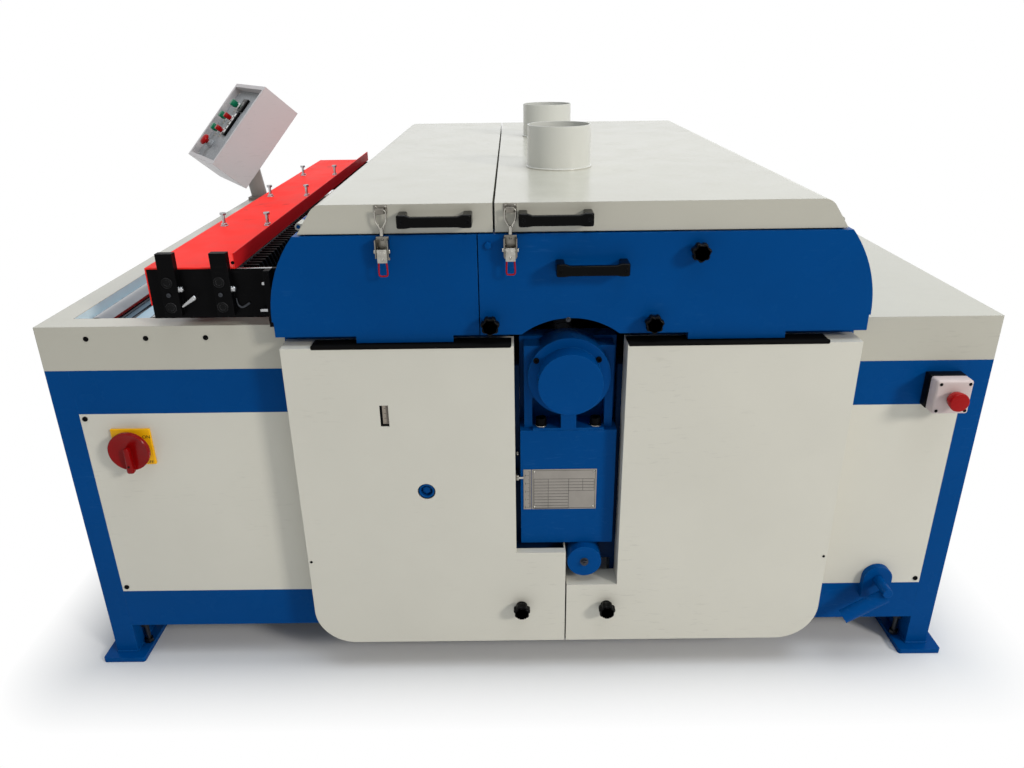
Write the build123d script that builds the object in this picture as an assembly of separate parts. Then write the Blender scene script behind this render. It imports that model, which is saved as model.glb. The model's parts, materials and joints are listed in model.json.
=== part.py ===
from build123d import *

import os
from math import asin, cos, pi, radians, sin, sqrt

# Multi-rip saw: roller fed, arbor below the table, all sizes in millimetres.
# +X is the feed direction, the service side faces -Y and +Z is up.
# The origin lies on the floor, at the centre of the four anchor holes.

# Frame and tables
FRAME_LENGTH = 1976.0
FRAME_DEPTH = 1550.0
TABLE_HEIGHT = 850.0
TABLE_BEAM_HEIGHT = 96.0
TABLE_RIM = 55.0
TABLE_SHEET = 5.0
TUBE_TALL = 100.0
TUBE_WIDE = 50.0
TUBE_WALL = 5.0
BOTTOM_RAIL_LIFT = 92.0
FOOT_WIDTH = 100.0
FOOT_LENGTH = 230.0
FOOT_THICKNESS = 12.0
FOOT_OVERHANG = 24.0
FOOT_CHAMFER = 4.0
ANCHOR_HOLE_R = 9.0
ANCHOR_SETBACK = 205.0
LEVEL_SCREW_R = 6.0
LEVEL_SCREW_HEAD_R = 11.0
LEVEL_SCREW_HEAD_HEIGHT = 10.0
LEVEL_SCREW_LENGTH = 62.0
LEVEL_SCREW_SETBACK = 61.0
LEVEL_SCREW_INSET = 12.5
PANEL_SHEET = 3.0
PANEL_GAP = 0.5
SWING_GAP = 0.3
RUNNING_GAP = 0.05

# Saw body
SAW_AXIS_X = 105.0
BODY_HALF = 590.0
BODY_STEP = 3.0
BODY_STEP_RISE = 20.0
BODY_ARC_RISE = 22.0
BODY_TOP_INSET = 59.0
COVER_DROP = 12.0
COVER_RISE = 189.0
COVER_DEPTH = 44.0
COVER_SHEET = 4.0
COVER_SEAM_OFFSET = 181.0
SEAM_GAP = 2.0
COVER_TAB_DROP = 14.0
COVER_TAB_LENGTH = 193.0
COVER_TAB_OFFSET = 330.0
ARCH_R = 160.0
ARCH_RISE = 131.0
END_PLATE = 12.0
END_PLATE_INSET = 8.0
END_PLATE_GAP = 5.0
END_PLATE_GATE = 125.0
SIDE_SHEET = 4.0
INFEED_MOUTH = 105.0
OUTFEED_MOUTH = 75.0

# Lids, hinges, ports, handles and latches
LID_GAP = 3.0
LID_HEIGHT = 55.0
LID_HALF = 522.0
LID_TOP_HALF = 485.0
LID_SHOULDER_R = 30.0
LID_SHEET = 3.0
LID_OVERHANG = 40.0
LID_SPLIT_OFFSET = 148.0
LID_SPLIT_GAP = 4.0
HINGE_HALF = 537.0
HINGE_DROP = 1.0
HINGE_KNUCKLE_R = 7.25
HINGE_PIN_R = 4.0
HINGE_KNUCKLE_LENGTH = 40.0
HINGE_LEAF = 5.0
HINGE_LEAF_DROP = 27.0
HINGE_SETBACK = 75.0
PORT_R = 75.0
PORT_WALL = 3.0
PORT_HEIGHT = 97.0
PORT_SPACING = 690.0
HANDLE_LENGTH = 139.0
HANDLE_REACH = 42.0
HANDLE_BAR = 14.0
HANDLE_LEG = 18.0
HANDLE_WIDTH = 20.0
HANDLE_FILLET = 5.0
LID_HANDLE_RISE = 29.0
LEFT_HANDLE_OFFSET = 257.0
RIGHT_HANDLE_OFFSET = 32.0
COVER_HANDLE_OFFSET = 38.0
COVER_HANDLE_DROP = 62.0
LEFT_LATCH_OFFSET = 359.0
RIGHT_LATCH_OFFSET = 117.0
LATCH_WIDTH = 26.0
LATCH_BASE_DROP = 1.0
LATCH_BASE_HEIGHT = 46.0
LATCH_SHEET = 3.0
LATCH_EAR_REACH = 22.0
LATCH_PIVOT_DROP = 26.0
LATCH_PIVOT_REACH = 15.0
LATCH_PIN_R = 3.0
LATCH_LEVER_LENGTH = 48.0
LATCH_LEVER_THICKNESS = 6.0
LATCH_BAIL_DROP = 13.0
LATCH_BAIL_RISE = 3.0
LATCH_WIRE = 4.0
LATCH_KEEPER_HEIGHT = 10.0
LATCH_ROD_R = 4.0
LATCH_ROD_GAP = 2.0
LATCH_HOOK_REACH = 14.0

# Star knobs
KNOB_R = 20.0
KNOB_HEIGHT = 20.0
KNOB_STEM_R = 9.0
KNOB_STEM_HEIGHT = 8.0
KNOB_LOBES = 7
KNOB_NOTCH_R = 5.0
KNOB_STUD_R = 5.0
COVER_KNOB_LOW_RISE = 25.0
COVER_KNOB_HIGH_DROP = 35.0
COVER_KNOB_LEFT_OFFSET = 159.0
COVER_KNOB_RIGHT_OFFSET = 162.0
COVER_KNOB_HIGH_OFFSET = 242.0
DOOR_KNOB_DROP = 57.0
DOOR_KNOB_LEFT_OFFSET = 102.0
DOOR_KNOB_RIGHT_OFFSET = 91.0

# Lower doors
DOOR_SIDE_MARGIN = 12.0
DOOR_TOP_DROP = 31.0
DOOR_BOTTOM_DROP = 8.0
DOOR_DEPTH = 59.0
DOOR_SHEET = 3.0
DOOR_CORNER_R = 90.0
DOOR_SPLIT_OFFSET = 2.0
DOOR_SPLIT_GAP = 3.0
NOTCH_MARGIN = 11.0
NOTCH_LEFT_DROP = 7.0
NOTCH_RIGHT_DROP = 95.0
NOTCH_LIP = 18.0
WINDOW_OFFSET = 381.0
WINDOW_WIDTH = 18.0
WINDOW_HEIGHT = 48.0
WINDOW_DROP = 126.0
SHAFT_HOLE_R = 19.0
ADJUSTER_OFFSET = 304.0
ADJUSTER_DROP = 251.0
ADJUSTER_R = 17.5
ADJUSTER_REACH = 46.0
ADJUSTER_BAR_HEIGHT = 60.0
ADJUSTER_BAR = 20.0
ADJUSTER_COLLAR_R = 24.0
ADJUSTER_COLLAR = 12.0
DOOR_POST_INSET = 8.0

# Arbor, its bearings and the lifting carriage
ARBOR_DROP = 110.0
ARBOR_R = 40.0
ARBOR_OVERHANG = 30.0
BLADE_R = 175.0
BLADE_THICKNESS = 3.6
BLADE_COUNT = 10
BLADE_PITCH = 115.0
BLADE_ROW_Y = -60.0
BED_SLOT_MARGIN = 4.0
COLUMN_WIDTH = 204.0
COLUMN_FRONT = 30.0
COLUMN_DEPTH = 105.0
COLUMN_HEIGHT = 281.0
COLUMN_DROP = 123.0
COLUMN_GAP = 0.5
BACK_PLATE_RISE = 68.0
BACK_PLATE_DEPTH = 45.0
BACK_PLATE_HOLE_R = 46.0
GUIDE_WIDTH = 20.0
HOUSING_R = 85.0
HOUSING_DEPTH = 64.0
HOUSING_FOOT_WIDTH = 150.0
HOUSING_FOOT_HEIGHT = 5.0
HOUSING_WEB_WIDTH = 32.0
HOUSING_PLATE_WIDTH = 186.0
HOUSING_PLATE_DEPTH = 45.0
HOUSING_PLATE_RISE = 62.0
HOUSING_POCKET_WIDTH = 152.0
HOUSING_POCKET_HEIGHT = 69.0
CAP_R = 65.5
CAP_REACH = 77.0
CARRIAGE_LINK_WIDTH = 90.0
CARRIAGE_PLATE = 30.0
MOTOR_OFFSET_X = 330.0
MOTOR_R = 140.0
MOTOR_AXIS_RISE = 150.0
MOTOR_SETBACK = 715.0
MOTOR_LENGTH = 440.0
MOTOR_SHAFT_R = 24.0
MOTOR_FOOT_WIDTH = 230.0
MOTOR_FOOT_LENGTH = 300.0
MOTOR_BOX = 110.0
MOTOR_BOX_RISE = 15.0
MOTOR_PLATE_MARGIN = 60.0
PULLEY_SETBACK = 175.0
PULLEY_WIDTH = 80.0
ARBOR_PULLEY_R = 62.0
MOTOR_PULLEY_R = 80.0
BELT_THICKNESS = 9.0
ROLLER_SEAT_R = 38.0
ROLLER_SEAT_LENGTH = 50.0
ROLLER_SEAT_OFFSET = 39.0
ROLLER_SEAT_AXLE_R = 12.0
SEAT_BAR_HEIGHT = 50.0

# Feed rollers, pressure unit and bed
FEED_ROLLER_R = 70.0
FEED_ROLLER_OFFSET = 260.0
FEED_ROLLER_FRONT_GAP = 85.0
FEED_ROLLER_REAR_GAP = 135.0
ROLLER_JOURNAL_R = 20.0
ROLLER_PROUD = 0.5
PRESSURE_ROLLER_R = 60.0
PRESSURE_NIP = 2.0
PRESSURE_JOURNAL_R = 15.0
CHEEK_SETBACK = 73.0
CHEEK = 12.0
CHEEK_WIDTH = 126.0
CHEEK_DROP = 4.0
CHEEK_MARGIN = 24.0
BEAM_HEIGHT = 44.0
BEAM_WIDTH = 80.0
CHEEK_GUIDE = 20.0
BED_TOP_GAP = 0.4
BED_PLATE = 14.0
BED_BAR = 13.0
BED_BAR_WIDTH = 16.0
BED_HALF = 185.0
BED_ROLLER_GAP = 8.0
CHAIN_SETBACK = 105.0
CHAIN_WIDTH = 22.0
CHAIN_THICKNESS = 8.0
SPROCKET_R = 30.0
SPROCKET_WIDTH = 16.0
DRIVE_SPROCKET_R = 40.0
GEARMOTOR_OFFSET = 405.0
GEARMOTOR_DROP = 340.0
GEARBOX_SIZE = 180.0
GEARBOX_LENGTH = 150.0
GEARMOTOR_R = 75.0
GEARMOTOR_LENGTH = 260.0
GEARBOX_SHAFT_R = 18.0
GEARBOX_SHELF = 20.0

# Infeed table rollers and the kickback unit
IDLER_R = 27.0
IDLER_PROUD = 1.0
IDLER_SETBACK = 103.0
IDLER_LAST_ROOM = 39.0
IDLER_AXLE_R = 9.0
IDLER_END_GAP = 3.0
INFEED_BED_DROP = 35.0
INFEED_BED_GAP = 3.0
INFEED_BED_SHEET = 4.0
KICK_PLATE = 10.0
KICK_LENGTH = 258.0
KICK_LIFT = 16.0
KICK_HEIGHT = 101.0
KICK_BRACKET_WIDTH = 12.0
KICK_BRACKET_DEPTH = 22.0
KICK_BRACKET_DROP = 14.0
KICK_BAR_WIDTH = 33.0
KICK_BAR_DEPTH = 17.0
KICK_BAR_RISE = 35.0
KICK_BAR_LIFT = 9.0
KICK_BAR_SETBACK = 30.0
KICK_BAR_PITCH = 105.0
RED_WIDTH = 182.0
RED_SHEET = 3.0
RED_FLANGE = 77.0
RED_LIP = 28.0
RED_OVERHANG = 40.0
FINGER_ROD_SETBACK = 51.0
FINGER_ROD_DROP = 22.0
FINGER_ROD_R = 8.0
FINGER_TOP_RISE = 21.0
FINGER_TOP_BACK = 25.0
FINGER_TOP_WIDTH = 32.0
FINGER_LENGTH = 90.0
FINGER_ANGLE = 68.0
FINGER_TIP = 9.0
FINGER_THICKNESS = 7.0
FINGER_PITCH = 22.0
FINGER_COUNT = 68

# Controls
POST_R = 28.0
POST_SETBACK_X = 35.0
POST_SETBACK_Y = 71.0
POST_FLANGE = 66.0
POST_FLANGE_THICKNESS = 8.0
POST_LEAN_X = -23.0
POST_LEAN_Z = 150.0
BOX_SETBACK_X = 3.0
BOX_SETBACK_Y = 85.0
BOX_RISE = 230.0
BOX_YAW = 33.0
BOX_TILT = 48.0
BOX_LENGTH = 320.0
BOX_WIDTH = 350.0
BOX_THICKNESS = 137.0
BOX_SHEET = 3.0
BOX_RIM = 14.0
BOX_RECESS = 22.0
BOX_PANEL = 4.0
BOX_LEDGE = 6.0
BUTTON_R = 12.0
BUTTON_HEIGHT = 22.0
BUTTON_STEM_R = 8.0
BUTTON_STEM_LENGTH = 16.0
BUTTON_STANDOFF = 8.0
BUTTON_ROW_LOW = -28.0
BUTTON_ROW_HIGH = 26.0
BUTTON_COLUMN_GREEN = 100.0
BUTTON_COLUMN_RED = 40.0
START_BUTTON_ROW = 80.0
START_BUTTON_COLUMN = 62.0
MUSHROOM_R = 20.0
MUSHROOM_HEIGHT = 16.0
PANEL_STOP_ROW = -88.0
PANEL_STOP_COLUMN = 66.0
PANEL_STOP_STANDOFF = 24.0
METER_LENGTH = 92.0
METER_WIDTH = 26.0
METER_HEIGHT = 9.0
METER_ROW = 6.0
METER_COLUMN = -12.0
GAUGE_SIZE = 44.0
GAUGE_ROW = 84.0
SWITCH_SETBACK = 153.0
SWITCH_DROP = 177.0
SWITCH_PLATE = 86.0
SWITCH_PLATE_THICKNESS = 6.0
SWITCH_KNOB_R = 44.0
SWITCH_KNOB_HEIGHT = 20.0
SWITCH_GRIP_WIDTH = 18.0
SWITCH_GRIP_LENGTH = 94.0
SWITCH_GRIP_HEIGHT = 20.0
SWITCH_SPINDLE_R = 6.0
STOP_BOX_SETBACK = 100.0
STOP_BOX_DROP = 61.0
STOP_BOX_WIDTH = 74.0
STOP_BOX_HEIGHT = 74.0
STOP_BOX_BASE = 24.0
STOP_BOX_COVER = 31.0
STOP_STEM_R = 12.0
STOP_STEM_REACH = 12.0
STOP_STEM_SEAT = 14.0
LEVER_SETBACK = 156.0
LEVER_RISE = 21.0
LEVER_BOSS_R = 33.0
LEVER_BOSS = 15.0
LEVER_BOSS_DROP = 50.0
LEVER_SHAFT_R = 11.0
LEVER_SHAFT_REACH = 70.0
LEVER_SHAFT_SEAT = 35.0
LEVER_TUBE_R = 16.0
LEVER_TUBE_BORE_R = 12.0
LEVER_TUBE_LENGTH = 107.0
LEVER_TUBE_SETBACK = 20.0
LEVER_TUBE_LEAD = 6.0
LEVER_TUBE_DROP = 20.0
LEVER_ANGLE = 213.0

# Places worked out from the driving sizes
BODY_STEP_HEIGHT = TABLE_HEIGHT + BODY_STEP_RISE
BODY_ARC_HEIGHT = TABLE_HEIGHT + BODY_ARC_RISE
COVER_BOTTOM = TABLE_HEIGHT - COVER_DROP
COVER_TOP = TABLE_HEIGHT + COVER_RISE
BODY_ARC_R = ((COVER_TOP - BODY_ARC_HEIGHT) ** 2 + BODY_TOP_INSET**2) / (2 * BODY_TOP_INSET)
COVER_SEAM_X = SAW_AXIS_X - COVER_SEAM_OFFSET
END_PLATE_TOP = COVER_TOP - END_PLATE_GAP
INFEED_MOUTH_TOP = TABLE_HEIGHT + INFEED_MOUTH
OUTFEED_MOUTH_TOP = TABLE_HEIGHT + OUTFEED_MOUTH
LID_BOTTOM = COVER_TOP + LID_GAP
LID_TOP = LID_BOTTOM + LID_HEIGHT
LID_SPLIT_X = SAW_AXIS_X - LID_SPLIT_OFFSET
HINGE_HEIGHT = LID_BOTTOM - HINGE_DROP
LID_HANDLE_Z = LID_BOTTOM + LID_HANDLE_RISE
LEFT_HANDLE_X = SAW_AXIS_X - LEFT_HANDLE_OFFSET
RIGHT_HANDLE_X = SAW_AXIS_X - RIGHT_HANDLE_OFFSET
COVER_HANDLE_X = SAW_AXIS_X + COVER_HANDLE_OFFSET
COVER_HANDLE_Z = COVER_TOP - COVER_HANDLE_DROP
LEFT_LATCH_X = SAW_AXIS_X - LEFT_LATCH_OFFSET
RIGHT_LATCH_X = SAW_AXIS_X - RIGHT_LATCH_OFFSET
LATCH_BASE_TOP = COVER_TOP - LATCH_BASE_DROP
LATCH_BASE_BOTTOM = LATCH_BASE_TOP - LATCH_BASE_HEIGHT
LATCH_PIVOT_Z = LATCH_BASE_TOP - LATCH_PIVOT_DROP
LATCH_BAIL_TOP = LID_TOP - LATCH_BAIL_DROP
LATCH_BAIL_BOTTOM = LID_BOTTOM + LATCH_BAIL_RISE
COVER_KNOB_LOW_Z = COVER_BOTTOM + COVER_KNOB_LOW_RISE
COVER_KNOB_HIGH_Z = COVER_TOP - COVER_KNOB_HIGH_DROP
COVER_KNOB_LEFT_X = SAW_AXIS_X - COVER_KNOB_LEFT_OFFSET
COVER_KNOB_RIGHT_X = SAW_AXIS_X + COVER_KNOB_RIGHT_OFFSET
COVER_KNOB_HIGH_X = SAW_AXIS_X + COVER_KNOB_HIGH_OFFSET
ARBOR_Z = TABLE_HEIGHT - ARBOR_DROP
ARCH_TOP = ARBOR_Z + ARCH_RISE
COLUMN_TOP = ARBOR_Z - COLUMN_DROP
COLUMN_BOTTOM = COLUMN_TOP - COLUMN_HEIGHT
BACK_PLATE_TOP = ARBOR_Z + BACK_PLATE_RISE
DOOR_KNOB_LEFT_X = SAW_AXIS_X - DOOR_KNOB_LEFT_OFFSET
DOOR_KNOB_RIGHT_X = SAW_AXIS_X + DOOR_KNOB_RIGHT_OFFSET
DOOR_LEFT_X = SAW_AXIS_X - BODY_HALF + DOOR_SIDE_MARGIN
DOOR_RIGHT_X = SAW_AXIS_X + BODY_HALF - DOOR_SIDE_MARGIN
DOOR_TOP = TABLE_HEIGHT - DOOR_TOP_DROP
DOOR_BOTTOM = BOTTOM_RAIL_LIFT - DOOR_BOTTOM_DROP
DOOR_SPLIT_X = SAW_AXIS_X - DOOR_SPLIT_OFFSET
NOTCH_LEFT_X = SAW_AXIS_X - COLUMN_WIDTH / 2 - NOTCH_MARGIN
NOTCH_RIGHT_X = SAW_AXIS_X + COLUMN_WIDTH / 2 + NOTCH_MARGIN
NOTCH_LEFT_Z = COLUMN_BOTTOM - NOTCH_LEFT_DROP
NOTCH_RIGHT_Z = COLUMN_BOTTOM - NOTCH_RIGHT_DROP
DOOR_KNOB_Z = NOTCH_RIGHT_Z - DOOR_KNOB_DROP
WINDOW_X = SAW_AXIS_X - WINDOW_OFFSET
WINDOW_TOP = DOOR_TOP - WINDOW_DROP
WINDOW_BOTTOM = WINDOW_TOP - WINDOW_HEIGHT
ADJUSTER_X = SAW_AXIS_X - ADJUSTER_OFFSET
ADJUSTER_Z = ARBOR_Z - ADJUSTER_DROP
ARBOR_LENGTH = FRAME_DEPTH + 2 * ARBOR_OVERHANG
CHEEK_TOP = END_PLATE_TOP - CHEEK_DROP
GEARMOTOR_X = SAW_AXIS_X - GEARMOTOR_OFFSET
GEARMOTOR_Z = ARBOR_Z - GEARMOTOR_DROP
KICK_BOTTOM = TABLE_HEIGHT + KICK_LIFT
KICK_TOP = KICK_BOTTOM + KICK_HEIGHT
KICK_BAR_TOP = KICK_TOP + KICK_BAR_RISE
FINGER_ROD_Z = KICK_TOP - FINGER_ROD_DROP
LEVER_Z = BOTTOM_RAIL_LIFT + TUBE_TALL + LEVER_RISE
HALF_LENGTH = FRAME_LENGTH / 2
HALF_DEPTH = FRAME_DEPTH / 2
FRONT_Y = -HALF_DEPTH
RAIL_TOP = TABLE_HEIGHT - TABLE_BEAM_HEIGHT
LEG_X = HALF_LENGTH - TUBE_WIDE / 2
INNER_X = HALF_LENGTH - TUBE_WIDE
RAIL_INNER_Y = HALF_DEPTH - TUBE_WIDE
LEG_INNER_Y = HALF_DEPTH - TUBE_TALL
COVER_FRONT_Y = FRONT_Y - PANEL_GAP - COVER_DEPTH
DOOR_FRONT_Y = FRONT_Y - PANEL_GAP - DOOR_DEPTH
LID_FRONT_Y = FRONT_Y - LID_OVERHANG
PLATE_INNER_Y = HALF_DEPTH - END_PLATE
PLATE_HALF = BODY_HALF - END_PLATE_INSET
COLUMN_FRONT_Y = FRONT_Y - COLUMN_FRONT
COLUMN_BACK_Y = COLUMN_FRONT_Y + COLUMN_DEPTH
COLUMN_HALF = COLUMN_WIDTH / 2
GUIDE_HALF = COLUMN_HALF + COLUMN_GAP
FEED_ROLLER_Z = TABLE_HEIGHT + ROLLER_PROUD - FEED_ROLLER_R
PRESSURE_ROLLER_Z = TABLE_HEIGHT + ROLLER_PROUD + PRESSURE_NIP + PRESSURE_ROLLER_R
BED_TOP = TABLE_HEIGHT - BED_TOP_GAP
MOTOR_X = SAW_AXIS_X + MOTOR_OFFSET_X
MOTOR_Z = COLUMN_BOTTOM + CARRIAGE_PLATE + MOTOR_AXIS_RISE
IDLER_Z = TABLE_HEIGHT + IDLER_PROUD - IDLER_R
KICK_Y = PLATE_INNER_Y
BODY_LEFT_X = SAW_AXIS_X - PLATE_HALF
BODY_RIGHT_X = SAW_AXIS_X + PLATE_HALF
HINGE_PITCH = HALF_DEPTH - HINGE_SETBACK
MOTOR_FRONT_Y = HALF_DEPTH - MOTOR_SETBACK
PULLEY_Y = HALF_DEPTH - PULLEY_SETBACK
FEED_ROLLER_START_Y = FEED_ROLLER_FRONT_GAP - HALF_DEPTH
FEED_ROLLER_END_Y = HALF_DEPTH - FEED_ROLLER_REAR_GAP
CHEEK_Y = HALF_DEPTH - CHEEK_SETBACK
CHAIN_Y = HALF_DEPTH - CHAIN_SETBACK
IDLER_FIRST_X = IDLER_SETBACK - HALF_LENGTH
IDLER_PITCH = (BODY_LEFT_X - IDLER_FIRST_X - IDLER_LAST_ROOM) / 3
LEVEL_SCREW_X = LEG_X - FOOT_WIDTH / 2 + LEVEL_SCREW_INSET
LEVEL_SCREW_Y = FRONT_Y + LEVEL_SCREW_SETBACK - FOOT_OVERHANG
KICK_LEFT_X = BODY_LEFT_X - KICK_LENGTH
KICK_BAR_FIRST_X = KICK_LEFT_X + KICK_BAR_SETBACK
RED_LEFT_X = KICK_LEFT_X - RED_SHEET
RED_RIGHT_X = RED_LEFT_X + RED_WIDTH
RED_REAR_Y = HALF_DEPTH + RED_OVERHANG
FINGER_ROD_X = BODY_LEFT_X - FINGER_ROD_SETBACK
POST_FOOT_X = POST_SETBACK_X - HALF_LENGTH
POST_FOOT_Y = HALF_DEPTH - POST_SETBACK_Y
SWITCH_X = SWITCH_SETBACK - HALF_LENGTH
SWITCH_Z = RAIL_TOP - SWITCH_DROP
STOP_BOX_X = HALF_LENGTH - STOP_BOX_SETBACK
STOP_BOX_Z = RAIL_TOP - STOP_BOX_DROP
LEVER_X = HALF_LENGTH - LEVER_SETBACK
BOX_CENTRE = (BOX_SETBACK_X - HALF_LENGTH, HALF_DEPTH - BOX_SETBACK_Y, TABLE_HEIGHT + BOX_RISE)


def slab(x, y, z):
    """Box between two corners, each span given as (low, high)."""
    size = Box(x[1] - x[0], y[1] - y[0], z[1] - z[0])
    return Pos((x[0] + x[1]) / 2, (y[0] + y[1]) / 2, (z[0] + z[1]) / 2) * size


def around(centre, width):
    """Span of a width about its centre."""
    return (centre - width / 2, centre + width / 2)


def rod_x(y, z, radius, x):
    """Round bar along X."""
    return Pos((x[0] + x[1]) / 2, y, z) * Rot(0, 90, 0) * Cylinder(radius, x[1] - x[0])


def rod_y(x, z, radius, y):
    """Round bar along Y."""
    return Pos(x, (y[0] + y[1]) / 2, z) * Rot(90, 0, 0) * Cylinder(radius, y[1] - y[0])


def rod_z(x, y, radius, z):
    """Round bar along Z."""
    return Pos(x, y, (z[0] + z[1]) / 2) * Cylinder(radius, z[1] - z[0])


def plate_y(outline, y):
    """Plate along Y from an outline drawn in X and Z."""
    plane = Plane(origin=(0, y[1], 0), x_dir=(1, 0, 0), z_dir=(0, -1, 0))
    return extrude(Location(plane) * outline, y[1] - y[0])


def rectangle(x, z):
    """Flat rectangle from two spans."""
    return Pos((x[0] + x[1]) / 2, (z[0] + z[1]) / 2) * Rectangle(x[1] - x[0], z[1] - z[0])


def disc(x, z, radius):
    """Flat disc."""
    return Pos(x, z) * Circle(radius)


def tube(x, y, z, along):
    """Rectangular steel tube between two corners, open at its ends."""
    spans = [x, y, z]
    inner = [
        span if axis == along else (span[0] + TUBE_WALL, span[1] - TUBE_WALL)
        for axis, span in enumerate(spans)
    ]
    return slab(x, y, z) - slab(*inner)


def flip(shape):
    """Copy of a piece at the rear of the machine."""
    return mirror(shape, about=Plane.XZ)


def both_ends(shape):
    """A front piece and its rear copy."""
    return [shape, flip(shape)]


def save(name, solids):
    """Write one node."""
    shape = solids[0] if len(solids) == 1 else Compound(children=solids)
    export_step(shape, f"parts/{name}.step")


def body_profile(inset, bottom, top):
    """Outline of the saw body: upright sides that arch inwards to a flat top."""
    half = BODY_HALF - inset
    radius = BODY_ARC_R - inset
    arc_x = half - radius
    rise = asin((top - BODY_ARC_HEIGHT) / radius)
    top_half = arc_x + radius * cos(rise)
    mid = (arc_x + radius * cos(rise / 2), BODY_ARC_HEIGHT + radius * sin(rise / 2))
    base = Polyline((-half, BODY_ARC_HEIGHT), (-half, bottom), (half, bottom), (half, BODY_ARC_HEIGHT))
    right = ThreePointArc((half, BODY_ARC_HEIGHT), mid, (top_half, top))
    roof = Line((top_half, top), (-top_half, top))
    left = ThreePointArc((-top_half, top), (-mid[0], mid[1]), (-half, BODY_ARC_HEIGHT))
    return Pos(SAW_AXIS_X, 0) * make_face([base, right, roof, left])


def cover_outline(x):
    """Outline of the end cover between two X limits, with its small side steps."""
    outline = body_profile(0, COVER_BOTTOM, COVER_TOP)
    for side in (-1, 1):
        edge = sorted((SAW_AXIS_X + side * BODY_HALF, SAW_AXIS_X + side * (BODY_HALF - BODY_STEP)))
        outline = outline - rectangle(edge, (COVER_BOTTOM, BODY_STEP_HEIGHT))
    return outline & rectangle(x, (COVER_BOTTOM, COVER_TOP))


def cover_tab(side):
    """Tab below the end cover's bottom edge."""
    x = around(SAW_AXIS_X + side * COVER_TAB_OFFSET, COVER_TAB_LENGTH)
    return rectangle(x, (COVER_BOTTOM - COVER_TAB_DROP, COVER_BOTTOM))


def pan(outline, sheet, y):
    """Sheet-metal pan with its face at the low end of y and flanges back to the high end."""
    hollow = offset(outline, amount=-sheet, kind=Kind.INTERSECTION)
    return plate_y(outline, y) - plate_y(hollow, (y[0] + sheet, y[1] + sheet))


def star_knob(x, z, face_y, stud_end_y):
    """Star knob on its stud, turned about Y, with the knob in front of a face."""
    stem_y = (face_y - KNOB_STEM_HEIGHT, face_y - SWING_GAP)
    grip_y = (stem_y[0] - KNOB_HEIGHT, stem_y[0])
    grip = disc(x, z, KNOB_R)
    for lobe in range(KNOB_LOBES):
        turn = 2 * pi * lobe / KNOB_LOBES
        grip -= disc(x + KNOB_R * cos(turn), z + KNOB_R * sin(turn), KNOB_NOTCH_R)
    stud = rod_y(x, z, KNOB_STUD_R, (stem_y[0], stud_end_y))
    return plate_y(grip, grip_y) + rod_y(x, z, KNOB_STEM_R, stem_y) + stud


def bridge_handle(x, z, face_y):
    """Bridge handle along X standing in front of a face."""
    bar = slab(
        around(x, HANDLE_LENGTH), (face_y - HANDLE_REACH, face_y - HANDLE_REACH + HANDLE_BAR),
        around(z, HANDLE_WIDTH),
    )
    bar = fillet(bar.edges().filter_by(Axis.Z), HANDLE_FILLET)
    reach = (face_y - HANDLE_REACH + HANDLE_BAR, face_y)
    shift = (HANDLE_LENGTH - HANDLE_LEG) / 2
    legs = [slab(around(x + side * shift, HANDLE_LEG), reach, around(z, HANDLE_WIDTH)) for side in (-1, 1)]
    return bar + legs[0] + legs[1]


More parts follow.
